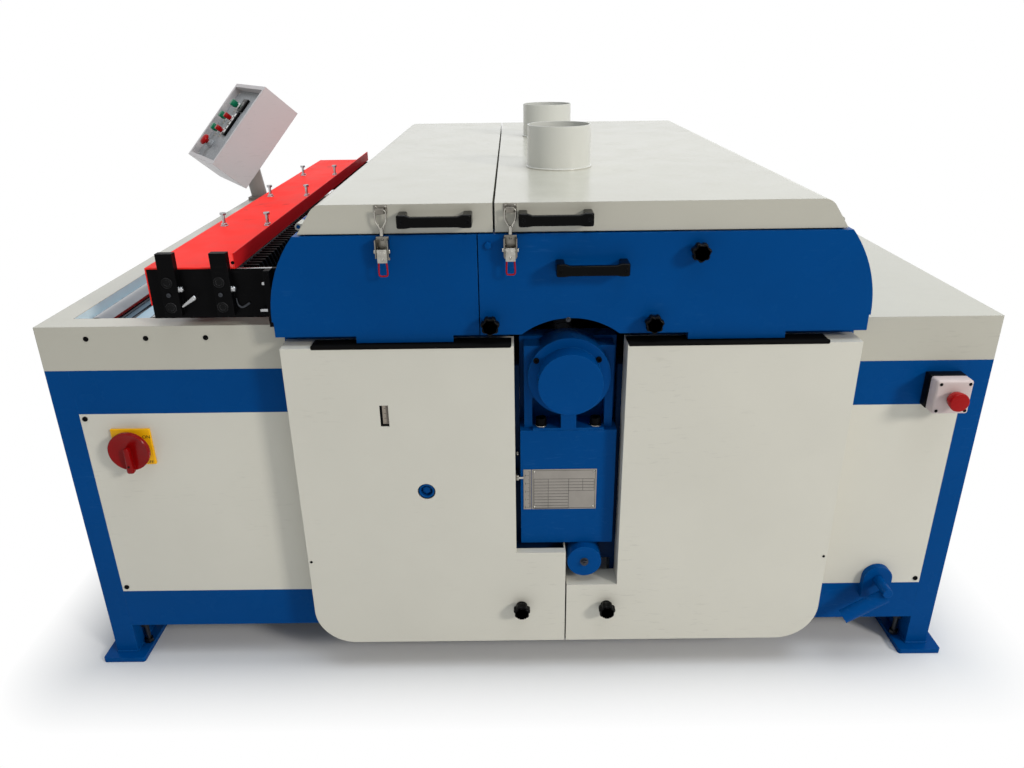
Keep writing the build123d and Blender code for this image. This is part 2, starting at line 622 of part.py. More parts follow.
def base_frame():
    """Welded tube frame with foot plates, column guides, door posts and the lever boss."""
    solids = []
    bottom = (BOTTOM_RAIL_LIFT, BOTTOM_RAIL_LIFT + TUBE_TALL)
    top = (RAIL_TOP - TUBE_TALL, RAIL_TOP)
    between = (bottom[1], top[0])
    guide_inner = GUIDE_HALF
    guide_outer = GUIDE_HALF + GUIDE_WIDTH
    for side in (-1, 1):
        x = around(side * LEG_X, TUBE_WIDE)
        front_leg = tube(x, (FRONT_Y, FRONT_Y + TUBE_TALL), (FOOT_THICKNESS, RAIL_TOP), 2)
        solids += both_ends(front_leg)
        for z in (bottom, top):
            solids.append(tube(x, (-LEG_INNER_Y, LEG_INNER_Y), z, 1))
        solids += both_ends(foot_plate(side))
    front = (FRONT_Y, FRONT_Y + TUBE_WIDE)
    left_run = (-INNER_X, SAW_AXIS_X - guide_outer)
    right_run = (SAW_AXIS_X + guide_outer, INNER_X)
    solids += both_ends(tube((-INNER_X, INNER_X), front, bottom, 0))
    solids += both_ends(tube(left_run, front, top, 0))
    solids += both_ends(tube(right_run, front, top, 0))
    for side in (-1, 1):
        guide_x = sorted((SAW_AXIS_X + side * guide_inner, SAW_AXIS_X + side * guide_outer))
        solids += both_ends(slab(guide_x, front, (bottom[1], RAIL_TOP)))
    door_posts = (DOOR_LEFT_X - DOOR_POST_INSET, DOOR_RIGHT_X + DOOR_POST_INSET)
    left_post = (door_posts[0], door_posts[0] + TUBE_WIDE)
    right_post = (door_posts[1] - TUBE_WIDE, door_posts[1])
    for x in (left_post, right_post):
        solids += both_ends(tube(x, front, between, 2))
        solids.append(tube(x, (-RAIL_INNER_Y, RAIL_INNER_Y), top, 1))
    seat_axis = COLUMN_BOTTOM - SWING_GAP - ROLLER_SEAT_R
    seat_x = around(SAW_AXIS_X, 2 * guide_inner)
    seat = slab(seat_x, front, around(seat_axis, SEAT_BAR_HEIGHT))
    bolt_x = SAW_AXIS_X + ROLLER_SEAT_OFFSET
    seat -= rod_y(bolt_x, seat_axis, ROLLER_SEAT_AXLE_R + RUNNING_GAP, (FRONT_Y, FRONT_Y + TUBE_WIDE))
    solids.append(seat)
    bar_x = (left_post[1], SAW_AXIS_X - guide_outer)
    bar = slab(bar_x, (FRONT_Y, FRONT_Y + ADJUSTER_BAR), around(ADJUSTER_Z, ADJUSTER_BAR_HEIGHT))
    bar -= rod_y(ADJUSTER_X, ADJUSTER_Z, ADJUSTER_R + RUNNING_GAP, (FRONT_Y, FRONT_Y + ADJUSTER_BAR))
    solids.append(bar)
    shelf_x = (left_post[1], SAW_AXIS_X - guide_outer)
    shelf_top = GEARMOTOR_Z - GEARBOX_SIZE / 2
    shelf_y = (RAIL_INNER_Y - GEARBOX_LENGTH - GEARMOTOR_LENGTH, HALF_DEPTH - PANEL_SHEET)
    solids.append(slab(shelf_x, shelf_y, (shelf_top - GEARBOX_SHELF, shelf_top)))
    boss_y = (FRONT_Y - LEVER_BOSS, FRONT_Y)
    boss = rod_y(LEVER_X, LEVER_Z, LEVER_BOSS_R, boss_y)
    boss = boss + slab(around(LEVER_X, 2 * LEVER_BOSS_R), boss_y, (LEVER_Z - LEVER_BOSS_DROP, LEVER_Z))
    solids.append(boss - rod_y(LEVER_X, LEVER_Z, LEVER_SHAFT_R + RUNNING_GAP, boss_y))
    return solids


def foot_plate(side):
    """Front foot plate of one side, with an anchor hole and a tapped levelling hole."""
    y = (FRONT_Y - FOOT_OVERHANG, FRONT_Y - FOOT_OVERHANG + FOOT_LENGTH)
    plate = slab(around(side * LEG_X, FOOT_WIDTH), y, (0, FOOT_THICKNESS))
    plate = chamfer(plate.edges().filter_by(Axis.Z), FOOT_CHAMFER)
    through = (0, FOOT_THICKNESS)
    hole_y = FRONT_Y + ANCHOR_SETBACK - FOOT_OVERHANG
    hole = rod_z(side * LEG_X, hole_y, ANCHOR_HOLE_R, through)
    level = rod_z(side * LEVEL_SCREW_X, LEVEL_SCREW_Y, LEVEL_SCREW_R + RUNNING_GAP, through)
    return plate - hole - level


def levelling_screws():
    """Four screws in the foot plates beside the legs, each with a hexagon head and a nut."""
    solids = []
    for side in (-1, 1):
        x = side * LEVEL_SCREW_X
        shank = rod_z(x, LEVEL_SCREW_Y, LEVEL_SCREW_R, (0, LEVEL_SCREW_LENGTH))
        hexagon = RegularPolygon(LEVEL_SCREW_HEAD_R, 6)
        head = extrude(Pos(x, LEVEL_SCREW_Y, LEVEL_SCREW_LENGTH) * hexagon, LEVEL_SCREW_HEAD_HEIGHT)
        nut = extrude(Pos(x, LEVEL_SCREW_Y, FOOT_THICKNESS) * hexagon, LEVEL_SCREW_HEAD_HEIGHT)
        solids += both_ends(shank + head + nut)
    return solids


def frame_panels():
    """Sheet panels set in the frame's front, rear and end openings."""
    z = (BOTTOM_RAIL_LIFT + TUBE_TALL, RAIL_TOP - TUBE_TALL)
    left = (-INNER_X, DOOR_LEFT_X - DOOR_POST_INSET)
    right = (DOOR_RIGHT_X + DOOR_POST_INSET, INNER_X)
    y = (FRONT_Y, FRONT_Y + PANEL_SHEET)
    cut = rod_y(LEVER_X, LEVER_Z, LEVER_SHAFT_R + PANEL_GAP, y)
    solids = [slab(left, y, z), slab(right, y, z) - cut]
    inner_left = (DOOR_LEFT_X - DOOR_POST_INSET + TUBE_WIDE, SAW_AXIS_X - GUIDE_HALF - GUIDE_WIDTH)
    inner_right = (SAW_AXIS_X + GUIDE_HALF + GUIDE_WIDTH, DOOR_RIGHT_X + DOOR_POST_INSET - TUBE_WIDE)
    rear = (HALF_DEPTH - PANEL_SHEET, HALF_DEPTH)
    solids += [slab(x, rear, z) for x in (left, inner_left, inner_right, right)]
    for side in (-1, 1):
        x = sorted((side * HALF_LENGTH, side * (HALF_LENGTH - PANEL_SHEET)))
        solids.append(slab(x, (-LEG_INNER_Y, LEG_INNER_Y), z))
    return solids


def infeed_table():
    """Four beams round the roller bed, and the axles of its idle rollers."""
    z = (RAIL_TOP, TABLE_HEIGHT)
    x = (-HALF_LENGTH, BODY_LEFT_X)
    front = slab(x, (FRONT_Y, FRONT_Y + TABLE_RIM), z)
    for index in range(3):
        axle_x = IDLER_FIRST_X + index * IDLER_PITCH
        front -= rod_y(axle_x, IDLER_Z, IDLER_AXLE_R + RUNNING_GAP, (FRONT_Y, FRONT_Y + TABLE_RIM))
    inner_y = (FRONT_Y + TABLE_RIM, -FRONT_Y - TABLE_RIM)
    left = slab((x[0], x[0] + TABLE_RIM), inner_y, z)
    right = slab((x[1] - TABLE_RIM, x[1]), inner_y, z)
    return both_ends(front) + [left, right] + idler_axles()


def idler_axles():
    """Fixed axles of the infeed table's idle rollers, through both beams."""
    y = (FRONT_Y, -FRONT_Y)
    return [rod_y(IDLER_FIRST_X + index * IDLER_PITCH, IDLER_Z, IDLER_AXLE_R, y) for index in range(3)]


def idler(index):
    """Idle roller on its fixed axle."""
    x = IDLER_FIRST_X + index * IDLER_PITCH
    half = HALF_DEPTH - TABLE_RIM - IDLER_END_GAP
    bore = rod_y(x, IDLER_Z, IDLER_AXLE_R + RUNNING_GAP, (-half, half))
    return rod_y(x, IDLER_Z, IDLER_R, (-half, half)) - bore


def bed_plates():
    """Bed strips between the infeed rollers and the slotted bed round the saw blades."""
    half = HALF_DEPTH - TABLE_RIM
    tray_top = TABLE_HEIGHT - INFEED_BED_DROP
    edges = [-HALF_LENGTH + TABLE_RIM]
    for index in range(3):
        edges += around(IDLER_FIRST_X + index * IDLER_PITCH, 2 * (IDLER_R + INFEED_BED_GAP))
    edges.append(BODY_LEFT_X - TABLE_RIM)
    tray_z = (tray_top - INFEED_BED_SHEET, tray_top)
    solids = [slab(span, (-half, half), tray_z) for span in zip(edges[0::2], edges[1::2])]
    z = (BED_TOP - BED_PLATE, BED_TOP)
    across = (-PLATE_INNER_Y, PLATE_INNER_Y)
    roller_edge = FEED_ROLLER_OFFSET + FEED_ROLLER_R + BED_ROLLER_GAP
    solids.append(slab((BODY_LEFT_X, SAW_AXIS_X - roller_edge), across, z))
    solids.append(slab((SAW_AXIS_X + roller_edge, BODY_RIGHT_X), across, z))
    for side in (-1, 1):
        edge = sorted((SAW_AXIS_X + side * BED_HALF, SAW_AXIS_X + side * (BED_HALF - BED_BAR_WIDTH)))
        solids.append(slab(edge, across, (z[0] - BED_BAR, z[0])))
    strip_x = around(SAW_AXIS_X, 2 * BED_HALF)
    first_y = BLADE_ROW_Y - BLADE_PITCH * (BLADE_COUNT - 1) / 2
    for index in range(BLADE_COUNT - 1):
        low = first_y + index * BLADE_PITCH + BED_SLOT_MARGIN
        high = first_y + (index + 1) * BLADE_PITCH - BED_SLOT_MARGIN
        solids.append(slab(strip_x, (low, high), z))
    solids.append(slab(strip_x, (COLUMN_BACK_Y + PANEL_GAP, first_y - BED_SLOT_MARGIN), z))
    last_y = first_y + (BLADE_COUNT - 1) * BLADE_PITCH
    solids.append(slab(strip_x, (last_y + BED_SLOT_MARGIN, -COLUMN_BACK_Y - PANEL_GAP), z))
    return solids


def outfeed_table():
    """Plain sheet-metal outfeed table, open below."""
    x = (BODY_RIGHT_X, HALF_LENGTH)
    shell = slab(x, (-HALF_DEPTH, HALF_DEPTH), (RAIL_TOP, TABLE_HEIGHT))
    inner_x = (x[0] + TABLE_SHEET, x[1] - TABLE_SHEET)
    inner_y = (-HALF_DEPTH + TABLE_SHEET, HALF_DEPTH - TABLE_SHEET)
    return [shell - slab(inner_x, inner_y, (RAIL_TOP, TABLE_HEIGHT - TABLE_SHEET))]


def saw_body():
    """End plates, arched side sheets with hinge knuckles and pins, and the cheek guides."""
    outline = body_profile(END_PLATE_INSET, RAIL_TOP, END_PLATE_TOP)
    plate = plate_y(outline, (FRONT_Y, -PLATE_INNER_Y))
    for side in (-1, 1):
        x = SAW_AXIS_X + side * FEED_ROLLER_OFFSET
        plate -= rod_y(x, FEED_ROLLER_Z, ROLLER_JOURNAL_R + RUNNING_GAP, (FRONT_Y, -PLATE_INNER_Y))
    solids = []
    for part in end_plate_parts(plate):
        solids += both_ends(part)
    solids += [side_sheet(-1, INFEED_MOUTH_TOP), side_sheet(1, OUTFEED_MOUTH_TOP)]
    for side in (-1, 1):
        x = SAW_AXIS_X + side * FEED_ROLLER_OFFSET
        for edge in (-1, 1):
            inner = x + edge * (CHEEK_WIDTH / 2 + SWING_GAP)
            span = sorted((inner, inner + edge * CHEEK_GUIDE))
            z = (TABLE_HEIGHT, END_PLATE_TOP)
            solids += both_ends(slab(span, (-PLATE_INNER_Y, -CHEEK_Y), z))
    return solids + hinge_pins()


def end_plate_parts(plate):
    """Two side plates and the bridge above the arbor, cut from one end plate."""
    y = (FRONT_Y, -PLATE_INNER_Y)
    gate = around(SAW_AXIS_X, 2 * END_PLATE_GATE)
    gate_top = ARBOR_Z + END_PLATE_GATE
    left = plate & slab((SAW_AXIS_X - BODY_HALF, gate[0]), y, (RAIL_TOP, END_PLATE_TOP))
    right = plate & slab((gate[1], SAW_AXIS_X + BODY_HALF), y, (RAIL_TOP, END_PLATE_TOP))
    bridge = plate & slab(gate, y, (gate_top, END_PLATE_TOP))
    return [left, right, bridge]


def side_sheet(side, bottom):
    """Arched side sheet of one side, above its feed mouth, with the fixed hinge knuckles."""
    outer = body_profile(END_PLATE_INSET, RAIL_TOP, END_PLATE_TOP)
    inner = body_profile(END_PLATE_INSET + SIDE_SHEET, RAIL_TOP, END_PLATE_TOP)
    keep_x = sorted((SAW_AXIS_X + side * BODY_ARC_R, SAW_AXIS_X + side * BODY_HALF))
    section = (outer - inner) & rectangle(keep_x, (bottom, END_PLATE_TOP))
    sheet = plate_y(section, (-PLATE_INNER_Y, PLATE_INNER_Y))
    hinge_x = SAW_AXIS_X + side * HINGE_HALF
    for seam in hinge_seams():
        y = (seam, seam + HINGE_KNUCKLE_LENGTH)
        leaf_z = (HINGE_HEIGHT - HINGE_LEAF_DROP, HINGE_HEIGHT)
        leaf = slab(around(hinge_x, HINGE_LEAF), y, leaf_z)
        sheet = sheet + leaf + rod_y(hinge_x, HINGE_HEIGHT, HINGE_KNUCKLE_R, y)
        sheet -= rod_y(hinge_x, HINGE_HEIGHT, HINGE_PIN_R + RUNNING_GAP, y)
    return sheet


def hinge_seams():
    """Places along Y where a fixed hinge knuckle meets a lid knuckle."""
    return [row * HINGE_PITCH for row in (-1, 0, 1)]


def hinge_pins():
    """Hinge pins through the fixed and the lid knuckles."""
    solids = []
    for side in (-1, 1):
        for seam in hinge_seams():
            span = (seam - HINGE_KNUCKLE_LENGTH, seam + HINGE_KNUCKLE_LENGTH)
            solids.append(rod_y(SAW_AXIS_X + side * HINGE_HALF, HINGE_HEIGHT, HINGE_PIN_R, span))
    return solids


def end_covers():
    """Fixed front cover left of the seam, and the rear cover over the whole body."""
    far_left = SAW_AXIS_X - BODY_HALF
    far_right = SAW_AXIS_X + BODY_HALF
    left = cover_outline((far_left, COVER_SEAM_X)) + cover_tab(-1)
    whole = cover_outline((far_left, far_right)) - disc(SAW_AXIS_X, ARCH_TOP - ARCH_R, ARCH_R)
    y = (COVER_FRONT_Y, FRONT_Y)
    return [pan(left, COVER_SHEET, y), flip(pan(whole, COVER_SHEET, y))]


def access_cover():
    """Lift-off front cover with its arch over the bearing."""
    outline = cover_outline((COVER_SEAM_X + SEAM_GAP, SAW_AXIS_X + BODY_HALF)) + cover_tab(1)
    outline = outline - disc(SAW_AXIS_X, ARCH_TOP - ARCH_R, ARCH_R)
    cover = pan(outline, COVER_SHEET, (COVER_FRONT_Y, FRONT_Y - PANEL_GAP))
    for x, z in cover_knob_places():
        cover -= rod_y(x, z, KNOB_STUD_R + RUNNING_GAP, (COVER_FRONT_Y, COVER_FRONT_Y + COVER_SHEET))
    return [cover]


def cover_knob_places():
    """Centres of the access cover's star knobs."""
    low = [(x, COVER_KNOB_LOW_Z) for x in (COVER_KNOB_LEFT_X, COVER_KNOB_RIGHT_X)]
    return low + [(COVER_KNOB_HIGH_X, COVER_KNOB_HIGH_Z)]


def lid_profile(side, inset, bottom):
    """Section of one lid: flat top, rounded shoulder and a side that leans in."""
    lean = (LID_HALF - LID_TOP_HALF) / (LID_TOP - LID_BOTTOM)
    outer = LID_HALF - inset * sqrt(1 + lean * lean)
    top = LID_TOP - inset
    split = LID_SPLIT_X + side * (LID_SPLIT_GAP / 2 + inset)
    low_x = SAW_AXIS_X + side * (outer - lean * (bottom - LID_BOTTOM))
    top_x = SAW_AXIS_X + side * (outer - lean * (top - LID_BOTTOM))
    face = make_face(Polyline((split, bottom), (low_x, bottom), (top_x, top), (split, top), close=True))
    shoulder = face.vertices().sort_by_distance(Vector(top_x, top, 0))[0]
    return fillet(shoulder, LID_SHOULDER_R - inset)


def lid(side):
    """One lid: a shell open below, with hinge knuckles on its outer edge."""
    shell = plate_y(lid_profile(side, 0, LID_BOTTOM), (LID_FRONT_Y, -LID_FRONT_Y))
    hollow_y = (LID_FRONT_Y + LID_SHEET, -LID_FRONT_Y - LID_SHEET)
    shell -= plate_y(lid_profile(side, LID_SHEET, LID_BOTTOM - LID_SHEET), hollow_y)
    hinge_x = SAW_AXIS_X + side * HINGE_HALF
    edge_x = SAW_AXIS_X + side * (LID_HALF - LID_SHEET)
    for seam in hinge_seams():
        y = (seam - HINGE_KNUCKLE_LENGTH, seam - SWING_GAP)
        leaf = slab(sorted((edge_x, hinge_x)), y, (LID_BOTTOM, LID_BOTTOM + HINGE_LEAF))
        shell = shell + leaf + rod_y(hinge_x, HINGE_HEIGHT, HINGE_KNUCKLE_R, y)
        shell -= rod_y(hinge_x, HINGE_HEIGHT, HINGE_PIN_R + RUNNING_GAP, y)
    return shell


def right_lid():
    """Right lid with its two welded dust ports."""
    shell = lid(1)
    for side in (-1, 1):
        y = side * PORT_SPACING / 2
        z = (LID_TOP - LID_SHEET, LID_TOP + PORT_HEIGHT)
        shell = shell + rod_z(SAW_AXIS_X, y, PORT_R, z)
        shell -= rod_z(SAW_AXIS_X, y, PORT_R - PORT_WALL, z)
    return [shell]


def latch_base(x):
    """Toggle latch base: a plate on the cover with two ears for the lever's pivot."""
    half = LATCH_WIDTH / 2
    plate_y_span = (COVER_FRONT_Y - LATCH_SHEET, COVER_FRONT_Y)
    base = slab(around(x, LATCH_WIDTH), plate_y_span, (LATCH_BASE_BOTTOM, LATCH_BASE_TOP))
    for side in (-1, 1):
        ear_x = sorted((x + side * half, x + side * (half - LATCH_SHEET)))
        ear_y = (COVER_FRONT_Y - LATCH_EAR_REACH, COVER_FRONT_Y)
        base = base + slab(ear_x, ear_y, (LATCH_BASE_BOTTOM + LATCH_SHEET, LATCH_BASE_TOP - LATCH_SHEET))
    pivot_y = COVER_FRONT_Y - LATCH_PIVOT_REACH
    return base - rod_x(pivot_y, LATCH_PIVOT_Z, LATCH_PIN_R + RUNNING_GAP, around(x, LATCH_WIDTH))


def latch_lever(x):
    """Latch lever with its pivot pin, hanging down over the base."""
    pivot_y = COVER_FRONT_Y - LATCH_PIVOT_REACH
    width = LATCH_WIDTH - 2 * (LATCH_SHEET + SWING_GAP)
    eye = rod_x(pivot_y, LATCH_PIVOT_Z, LATCH_LEVER_THICKNESS, around(x, width))
    pin = rod_x(pivot_y, LATCH_PIVOT_Z, LATCH_PIN_R, around(x, LATCH_WIDTH))
    arm_y = (pivot_y - LATCH_LEVER_THICKNESS, pivot_y)
    arm = slab(around(x, width), arm_y, (LATCH_PIVOT_Z - LATCH_LEVER_LENGTH, LATCH_PIVOT_Z))
    window_z = (LATCH_PIVOT_Z - LATCH_LEVER_LENGTH + LATCH_WIRE, LATCH_BASE_BOTTOM)
    window = slab(around(x, width - 2 * LATCH_WIRE), arm_y, window_z)
    return eye + pin + arm - window


def latch_bail(x):
    """Keeper on the lid with the bail and its hook rod hanging from it."""
    keeper = slab(
        around(x, LATCH_WIDTH), (LID_FRONT_Y - LATCH_HOOK_REACH, LID_FRONT_Y),
        (LATCH_BAIL_TOP, LATCH_BAIL_TOP + LATCH_KEEPER_HEIGHT),
    )
    bail_y = (LID_FRONT_Y - LATCH_HOOK_REACH, LID_FRONT_Y - LATCH_HOOK_REACH + LATCH_WIRE)
    ring = rectangle(around(x, LATCH_WIDTH), (LATCH_BAIL_BOTTOM, LATCH_BAIL_TOP))
    hole = rectangle(
        around(x, LATCH_WIDTH - 2 * LATCH_WIRE),
        (LATCH_BAIL_BOTTOM + LATCH_WIRE, LATCH_BAIL_TOP),
    )
    rod_top = LATCH_BAIL_BOTTOM + LATCH_WIRE
    rod = rod_z(x, bail_y[0] + LATCH_ROD_R / 2, LATCH_ROD_R, (LATCH_BASE_TOP + LATCH_ROD_GAP, rod_top))
    return keeper + plate_y(ring - hole, bail_y) + rod


def door(side):
    """Lower door: a pan with a rounded outer corner and a notch round the bearing column."""
    outer = DOOR_LEFT_X if side < 0 else DOOR_RIGHT_X
    inner = DOOR_SPLIT_X + side * DOOR_SPLIT_GAP / 2
    face = rectangle(sorted((outer, inner)), (DOOR_BOTTOM, DOOR_TOP))
    corner = face.vertices().sort_by_distance(Vector(outer, DOOR_BOTTOM, 0))[0]
    face = fillet(corner, DOOR_CORNER_R)
    notch_x = NOTCH_LEFT_X if side < 0 else NOTCH_RIGHT_X
    notch_z = NOTCH_LEFT_Z if side < 0 else NOTCH_RIGHT_Z
    face = face - rectangle(sorted((notch_x, inner)), (notch_z, DOOR_TOP))
    y = (DOOR_FRONT_Y, FRONT_Y - PANEL_GAP)
    shell = pan(face, DOOR_SHEET, y)
    knob_x = DOOR_KNOB_LEFT_X if side < 0 else DOOR_KNOB_RIGHT_X
    skin = (DOOR_FRONT_Y, DOOR_FRONT_Y + DOOR_SHEET)
    shell -= rod_y(knob_x, DOOR_KNOB_Z, KNOB_STUD_R + RUNNING_GAP, skin)
    if side < 0:
        ledge_z = (notch_z - DOOR_SHEET, notch_z)
        shell -= slab((notch_x, inner), (DOOR_FRONT_Y + NOTCH_LIP, FRONT_Y), ledge_z)
        shell -= slab(around(WINDOW_X, WINDOW_WIDTH), skin, (WINDOW_BOTTOM, WINDOW_TOP))
        shell -= rod_y(ADJUSTER_X, ADJUSTER_Z, SHAFT_HOLE_R, skin)
    return [shell]


def adjusting_shaft():
    """Height adjusting shaft whose end shows in the left door's round hole."""
    y = (FRONT_Y - ADJUSTER_REACH, FRONT_Y + ADJUSTER_BAR + ADJUSTER_COLLAR)
    shaft = rod_y(ADJUSTER_X, ADJUSTER_Z, ADJUSTER_R, y)
    collars = [
        (FRONT_Y - SWING_GAP - ADJUSTER_COLLAR, FRONT_Y - SWING_GAP),
        (FRONT_Y + ADJUSTER_BAR + SWING_GAP, FRONT_Y + ADJUSTER_BAR + ADJUSTER_COLLAR),
    ]
    for span in collars:
        shaft = shaft + rod_y(ADJUSTER_X, ADJUSTER_Z, ADJUSTER_COLLAR_R, span)
    return [shaft]


def bearing_columns():
    """Front and rear bearing columns, the plate that links them and carries the motor."""
    x = around(SAW_AXIS_X, COLUMN_WIDTH)
    block = slab(x, (COLUMN_FRONT_Y, COLUMN_BACK_Y), (COLUMN_BOTTOM, COLUMN_TOP))
    back_y = (COLUMN_BACK_Y - BACK_PLATE_DEPTH, COLUMN_BACK_Y)
    back = slab(x, back_y, (COLUMN_TOP, BACK_PLATE_TOP))
    column = block + (back - rod_y(SAW_AXIS_X, ARBOR_Z, BACK_PLATE_HOLE_R, back_y))
    z = (COLUMN_BOTTOM, COLUMN_BOTTOM + CARRIAGE_PLATE)
    plate_x = (x[0], MOTOR_X + MOTOR_FOOT_WIDTH / 2 + MOTOR_PLATE_MARGIN)
    plate_y_span = (MOTOR_FRONT_Y - MOTOR_PLATE_MARGIN, -COLUMN_BACK_Y)
    link = slab(around(SAW_AXIS_X, CARRIAGE_LINK_WIDTH), (COLUMN_BACK_Y, plate_y_span[0]), z)
    return both_ends(column) + [slab(plate_x, plate_y_span, z), link]


def bearing_housings():
    """Bearing housings on the column ledges, with pockets for their screws, each closed by a round cap."""
    y = (COLUMN_BACK_Y - BACK_PLATE_DEPTH - HOUSING_DEPTH, COLUMN_BACK_Y - BACK_PLATE_DEPTH)
    ledge_y = (COLUMN_FRONT_Y + PANEL_GAP, y[1])
    foot_z = (COLUMN_TOP, COLUMN_TOP + HOUSING_FOOT_HEIGHT)
    foot = slab(around(SAW_AXIS_X, HOUSING_FOOT_WIDTH), ledge_y, foot_z)
    web = slab(around(SAW_AXIS_X, HOUSING_WEB_WIDTH), ledge_y, (COLUMN_TOP, ARBOR_Z))
    plate_span = (y[1] - HOUSING_PLATE_DEPTH, y[1])
    plate_z = (COLUMN_TOP, ARBOR_Z + HOUSING_PLATE_RISE)
    plate = slab(around(SAW_AXIS_X, HOUSING_PLATE_WIDTH), plate_span, plate_z)
    pocket_z = (foot_z[1], COLUMN_TOP + HOUSING_POCKET_HEIGHT)
    plate -= slab(around(SAW_AXIS_X, HOUSING_POCKET_WIDTH), plate_span, pocket_z)
    body = rod_y(SAW_AXIS_X, ARBOR_Z, HOUSING_R, y) + plate + foot + web
    body -= rod_y(SAW_AXIS_X, ARBOR_Z, ARBOR_R + RUNNING_GAP, (y[0] - HOUSING_DEPTH, y[1]))
    cap = rod_y(SAW_AXIS_X, ARBOR_Z, CAP_R, (FRONT_Y - CAP_REACH, y[0]))
    return both_ends(body) + both_ends(cap)


def saw_arbor():
    """Arbor shaft and the pulley keyed to it."""
    half = ARBOR_LENGTH / 2
    shaft = rod_y(SAW_AXIS_X, ARBOR_Z, ARBOR_R, (-half, half))
    span = around(PULLEY_Y, PULLEY_WIDTH)
    pulley = rod_y(SAW_AXIS_X, ARBOR_Z, ARBOR_PULLEY_R, span)
    return [shaft, pulley - rod_y(SAW_AXIS_X, ARBOR_Z, ARBOR_R + RUNNING_GAP, span)]


def saw_blades():
    """Row of saw blades on the arbor."""
    solids = []
    for index in range(BLADE_COUNT):
        y = BLADE_ROW_Y + BLADE_PITCH * (index - (BLADE_COUNT - 1) / 2)
        span = around(y, BLADE_THICKNESS)
        blade = rod_y(SAW_AXIS_X, ARBOR_Z, BLADE_R, span)
        solids.append(blade - rod_y(SAW_AXIS_X, ARBOR_Z, ARBOR_R + RUNNING_GAP, span))
    return solids


def main_motor():
    """Main motor on its feet, with a terminal box on top."""
    y = (MOTOR_FRONT_Y, MOTOR_FRONT_Y + MOTOR_LENGTH)
    foot_z = (COLUMN_BOTTOM + CARRIAGE_PLATE, MOTOR_Z)
    middle = (y[0] + y[1]) / 2
    foot = slab(around(MOTOR_X, MOTOR_FOOT_WIDTH), around(middle, MOTOR_FOOT_LENGTH), foot_z)
    box_z = (MOTOR_Z, MOTOR_Z + MOTOR_R + MOTOR_BOX_RISE)
    motor = rod_y(MOTOR_X, MOTOR_Z, MOTOR_R, y) + foot
    motor = motor + slab(around(MOTOR_X, MOTOR_BOX), around(middle, MOTOR_BOX), box_z)
    return [motor - rod_y(MOTOR_X, MOTOR_Z, MOTOR_SHAFT_R + RUNNING_GAP, (y[1] - MOTOR_SHAFT_R, y[1]))]


def motor_pulley():
    """Motor shaft end and its pulley."""
    start = MOTOR_FRONT_Y + MOTOR_LENGTH - MOTOR_SHAFT_R + SWING_GAP
    span = around(PULLEY_Y, PULLEY_WIDTH)
    shaft = rod_y(MOTOR_X, MOTOR_Z, MOTOR_SHAFT_R, (start, span[1]))
    return [shaft + rod_y(MOTOR_X, MOTOR_Z, MOTOR_PULLEY_R, span)]


def loop(circles, thickness, y):
    """Belt or chain stretched round circles given as (x, z, radius)."""
    def hull(grow):
        edges = [disc(x, z, radius + grow).edge() for x, z, radius in circles]
        return make_hull(edges)
    return plate_y(hull(SWING_GAP + thickness), y) - plate_y(hull(SWING_GAP), y)


def drive_belt():
    """Ribbed belt from the motor pulley to the arbor pulley."""
    ends = [(SAW_AXIS_X, ARBOR_Z, ARBOR_PULLEY_R), (MOTOR_X, MOTOR_Z, MOTOR_PULLEY_R)]
    return [loop(ends, BELT_THICKNESS, around(PULLEY_Y, PULLEY_WIDTH))]


def lift_roller():
    """Roller under the front column, on a stub axle in the seat bar."""
    z = COLUMN_BOTTOM - SWING_GAP - ROLLER_SEAT_R
    x = SAW_AXIS_X + ROLLER_SEAT_OFFSET
    wheel = rod_y(x, z, ROLLER_SEAT_R, (FRONT_Y - ROLLER_SEAT_LENGTH, FRONT_Y - SWING_GAP))
    axle = rod_y(x, z, ROLLER_SEAT_AXLE_R, (FRONT_Y - ROLLER_SEAT_LENGTH, FRONT_Y + TUBE_WIDE))
    return [wheel + axle]


def lift_lever():
    """Lever shaft in its boss, with a bar socket tube welded on."""
    shaft_y = (FRONT_Y - LEVER_SHAFT_REACH, FRONT_Y + LEVER_SHAFT_SEAT)
    shaft = rod_y(LEVER_X, LEVER_Z, LEVER_SHAFT_R, shaft_y)
    turn = radians(LEVER_ANGLE)
    along = Vector(cos(turn), 0, sin(turn))
    start = Vector(LEVER_X + LEVER_TUBE_LEAD, shaft_y[0] + LEVER_TUBE_SETBACK, LEVER_Z - LEVER_TUBE_DROP)
    socket = Location(Plane(origin=start, z_dir=along))
    base = Pos(0, 0, LEVER_TUBE_LENGTH / 2)
    tube_solid = socket * base * Cylinder(LEVER_TUBE_R, LEVER_TUBE_LENGTH)
    bore_length = LEVER_TUBE_LENGTH - 2 * LEVER_TUBE_R
    bore = socket * Pos(0, 0, LEVER_TUBE_LENGTH - bore_length / 2) * Cylinder(LEVER_TUBE_BORE_R, bore_length)
    return [shaft + tube_solid - bore]


def feed_roller(side):
    """Driven feed roller with its journals and sprocket."""
    x = SAW_AXIS_X + side * FEED_ROLLER_OFFSET
    roller = rod_y(x, FEED_ROLLER_Z, FEED_ROLLER_R, (FEED_ROLLER_START_Y, FEED_ROLLER_END_Y))
    journal = rod_y(x, FEED_ROLLER_Z, ROLLER_JOURNAL_R, (FRONT_Y, -FRONT_Y))
    sprocket = rod_y(x, FEED_ROLLER_Z, SPROCKET_R, around(CHAIN_Y, SPROCKET_WIDTH))
    return [roller + journal + sprocket]


